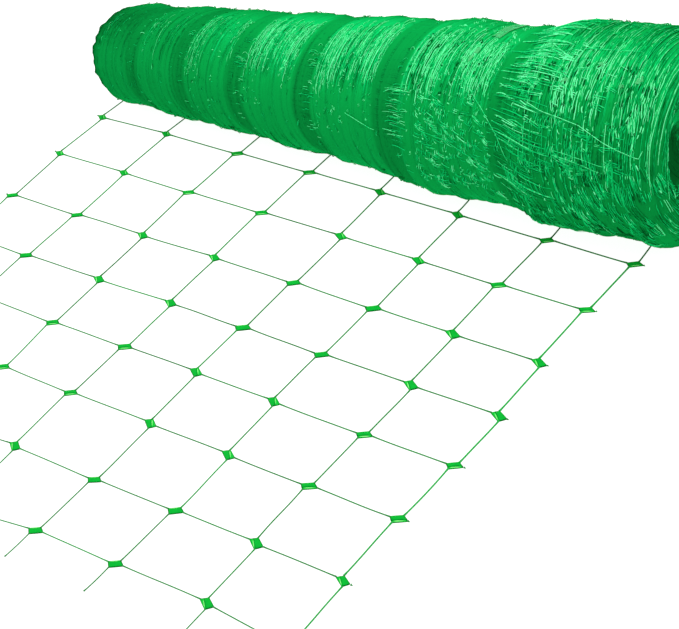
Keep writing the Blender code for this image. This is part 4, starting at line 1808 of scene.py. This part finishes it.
@dataclass
class Studio:
    """Pale floor, soft overhead light and the camera."""

    floor_size: float = 9.0
    softbox_size: float = 2.6
    softbox_power: float = 52.0
    softbox_place: Triple = (0.02, 0.15, 2.5)
    softbox_aim: Triple = (0.02, 0.45, 0.15)
    fill_strength: float = 0.86
    focal_pixels: float = 1263.0
    image_width: float = 679.0
    sensor: float = 36.0
    azimuth: float = 39.6
    elevation: float = 38.0
    tilt: float = -9.7
    distance: float = 2.18
    target: Triple = (0.2056, 0.0376, 0.0)

    def build(self) -> None:
        """Make the floor, the lights and the camera."""
        self._floor()
        self._lights()
        self._camera()
        bpy.context.scene.view_settings.view_transform = "Standard"

    def _floor(self) -> None:
        """Lay the floor just under the part."""
        half = self.floor_size / 2
        mesh = bpy.data.meshes.new("studio_floor")
        mesh.from_pydata([(-half, -half, 0), (half, -half, 0), (half, half, 0),
                          (-half, half, 0)], [], [(0, 1, 2, 3)])
        mesh.materials.append(FloorPaint().build())
        link(mesh, "studio_floor")

    def _lights(self) -> None:
        """Hang the softbox and light the room evenly."""
        data = bpy.data.lights.new("softbox", "AREA")
        data.shape, data.size = "SQUARE", self.softbox_size
        data.energy = self.softbox_power
        lamp = bpy.data.objects.new("softbox", data)
        lamp.location = self.softbox_place
        aim = Vector(self.softbox_aim) - Vector(self.softbox_place)
        lamp.rotation_euler = aim.to_track_quat("-Z", "Y").to_euler()
        bpy.context.scene.collection.objects.link(lamp)
        world = bpy.data.worlds.new("studio_room")
        world.use_nodes = True
        graph = Graph(world.node_tree)
        glow = graph.node("ShaderNodeBackground", {}, {"Color": (1.0, 1.0, 1.0, 1.0),
                                                       "Strength": self.fill_strength})
        graph.node("ShaderNodeOutputWorld", {}, {"Surface": glow})
        bpy.context.scene.world = world

    def _camera(self) -> None:
        """Put the camera where the photograph was taken from."""
        turn, rise, tilt = (math.radians(value) for value in
                            (self.azimuth, self.elevation, self.tilt))
        back = Vector((math.sin(turn) * math.cos(rise), -math.cos(turn) * math.cos(rise),
                       math.sin(rise)))
        right = Vector((math.cos(turn), math.sin(turn), 0.0))
        up = back.cross(right)
        across = math.cos(tilt) * right + math.sin(tilt) * up
        upwards = -math.sin(tilt) * right + math.cos(tilt) * up
        place = Vector(self.target) + back * self.distance
        data = bpy.data.cameras.new("camera")
        data.sensor_width = self.sensor
        data.lens = self.focal_pixels * self.sensor / self.image_width
        camera = bpy.data.objects.new("camera", data)
        camera.matrix_world = Matrix(((across.x, upwards.x, back.x, place.x),
                                      (across.y, upwards.y, back.y, place.y),
                                      (across.z, upwards.z, back.z, place.z),
                                      (0.0, 0.0, 0.0, 1.0)))
        bpy.context.scene.collection.objects.link(camera)
        bpy.context.scene.camera = camera


def main() -> None:
    """Build the studio and every piece of the roll and its loose end."""
    logging.basicConfig(level=logging.INFO, format="%(name)s: %(message)s")
    Studio().build()
    skin = RollSkin()
    winding = Winding()
    sweep = StrandSweep()
    wound = WOUND_PLASTIC.build()
    settle(WoundBody().build(skin, winding, BODY_PLASTIC.build()), Solid.ROLL)
    for layer in (UnderTurns, OuterBundles, WaistStrands, LooseStrands):
        settle(layer(skin, winding).build(sweep, wound))
    settle(FilmScraps().build(skin, FILM_PLASTIC.build()))
    net = LooseNet()
    flat_sweep = StrandSweep("flat_strand_sweep", upright=True)
    settle(net.build_strands(skin, flat_sweep, NET_PLASTIC.build()), Solid.NET)
    drawn = KNOT_PLASTIC.build()
    scatter = KnotScatter("knot_scatter", net.knot_shapes(drawn))
    settle(net.build_knots(scatter, drawn))


if __name__ == "__main__":
    main()
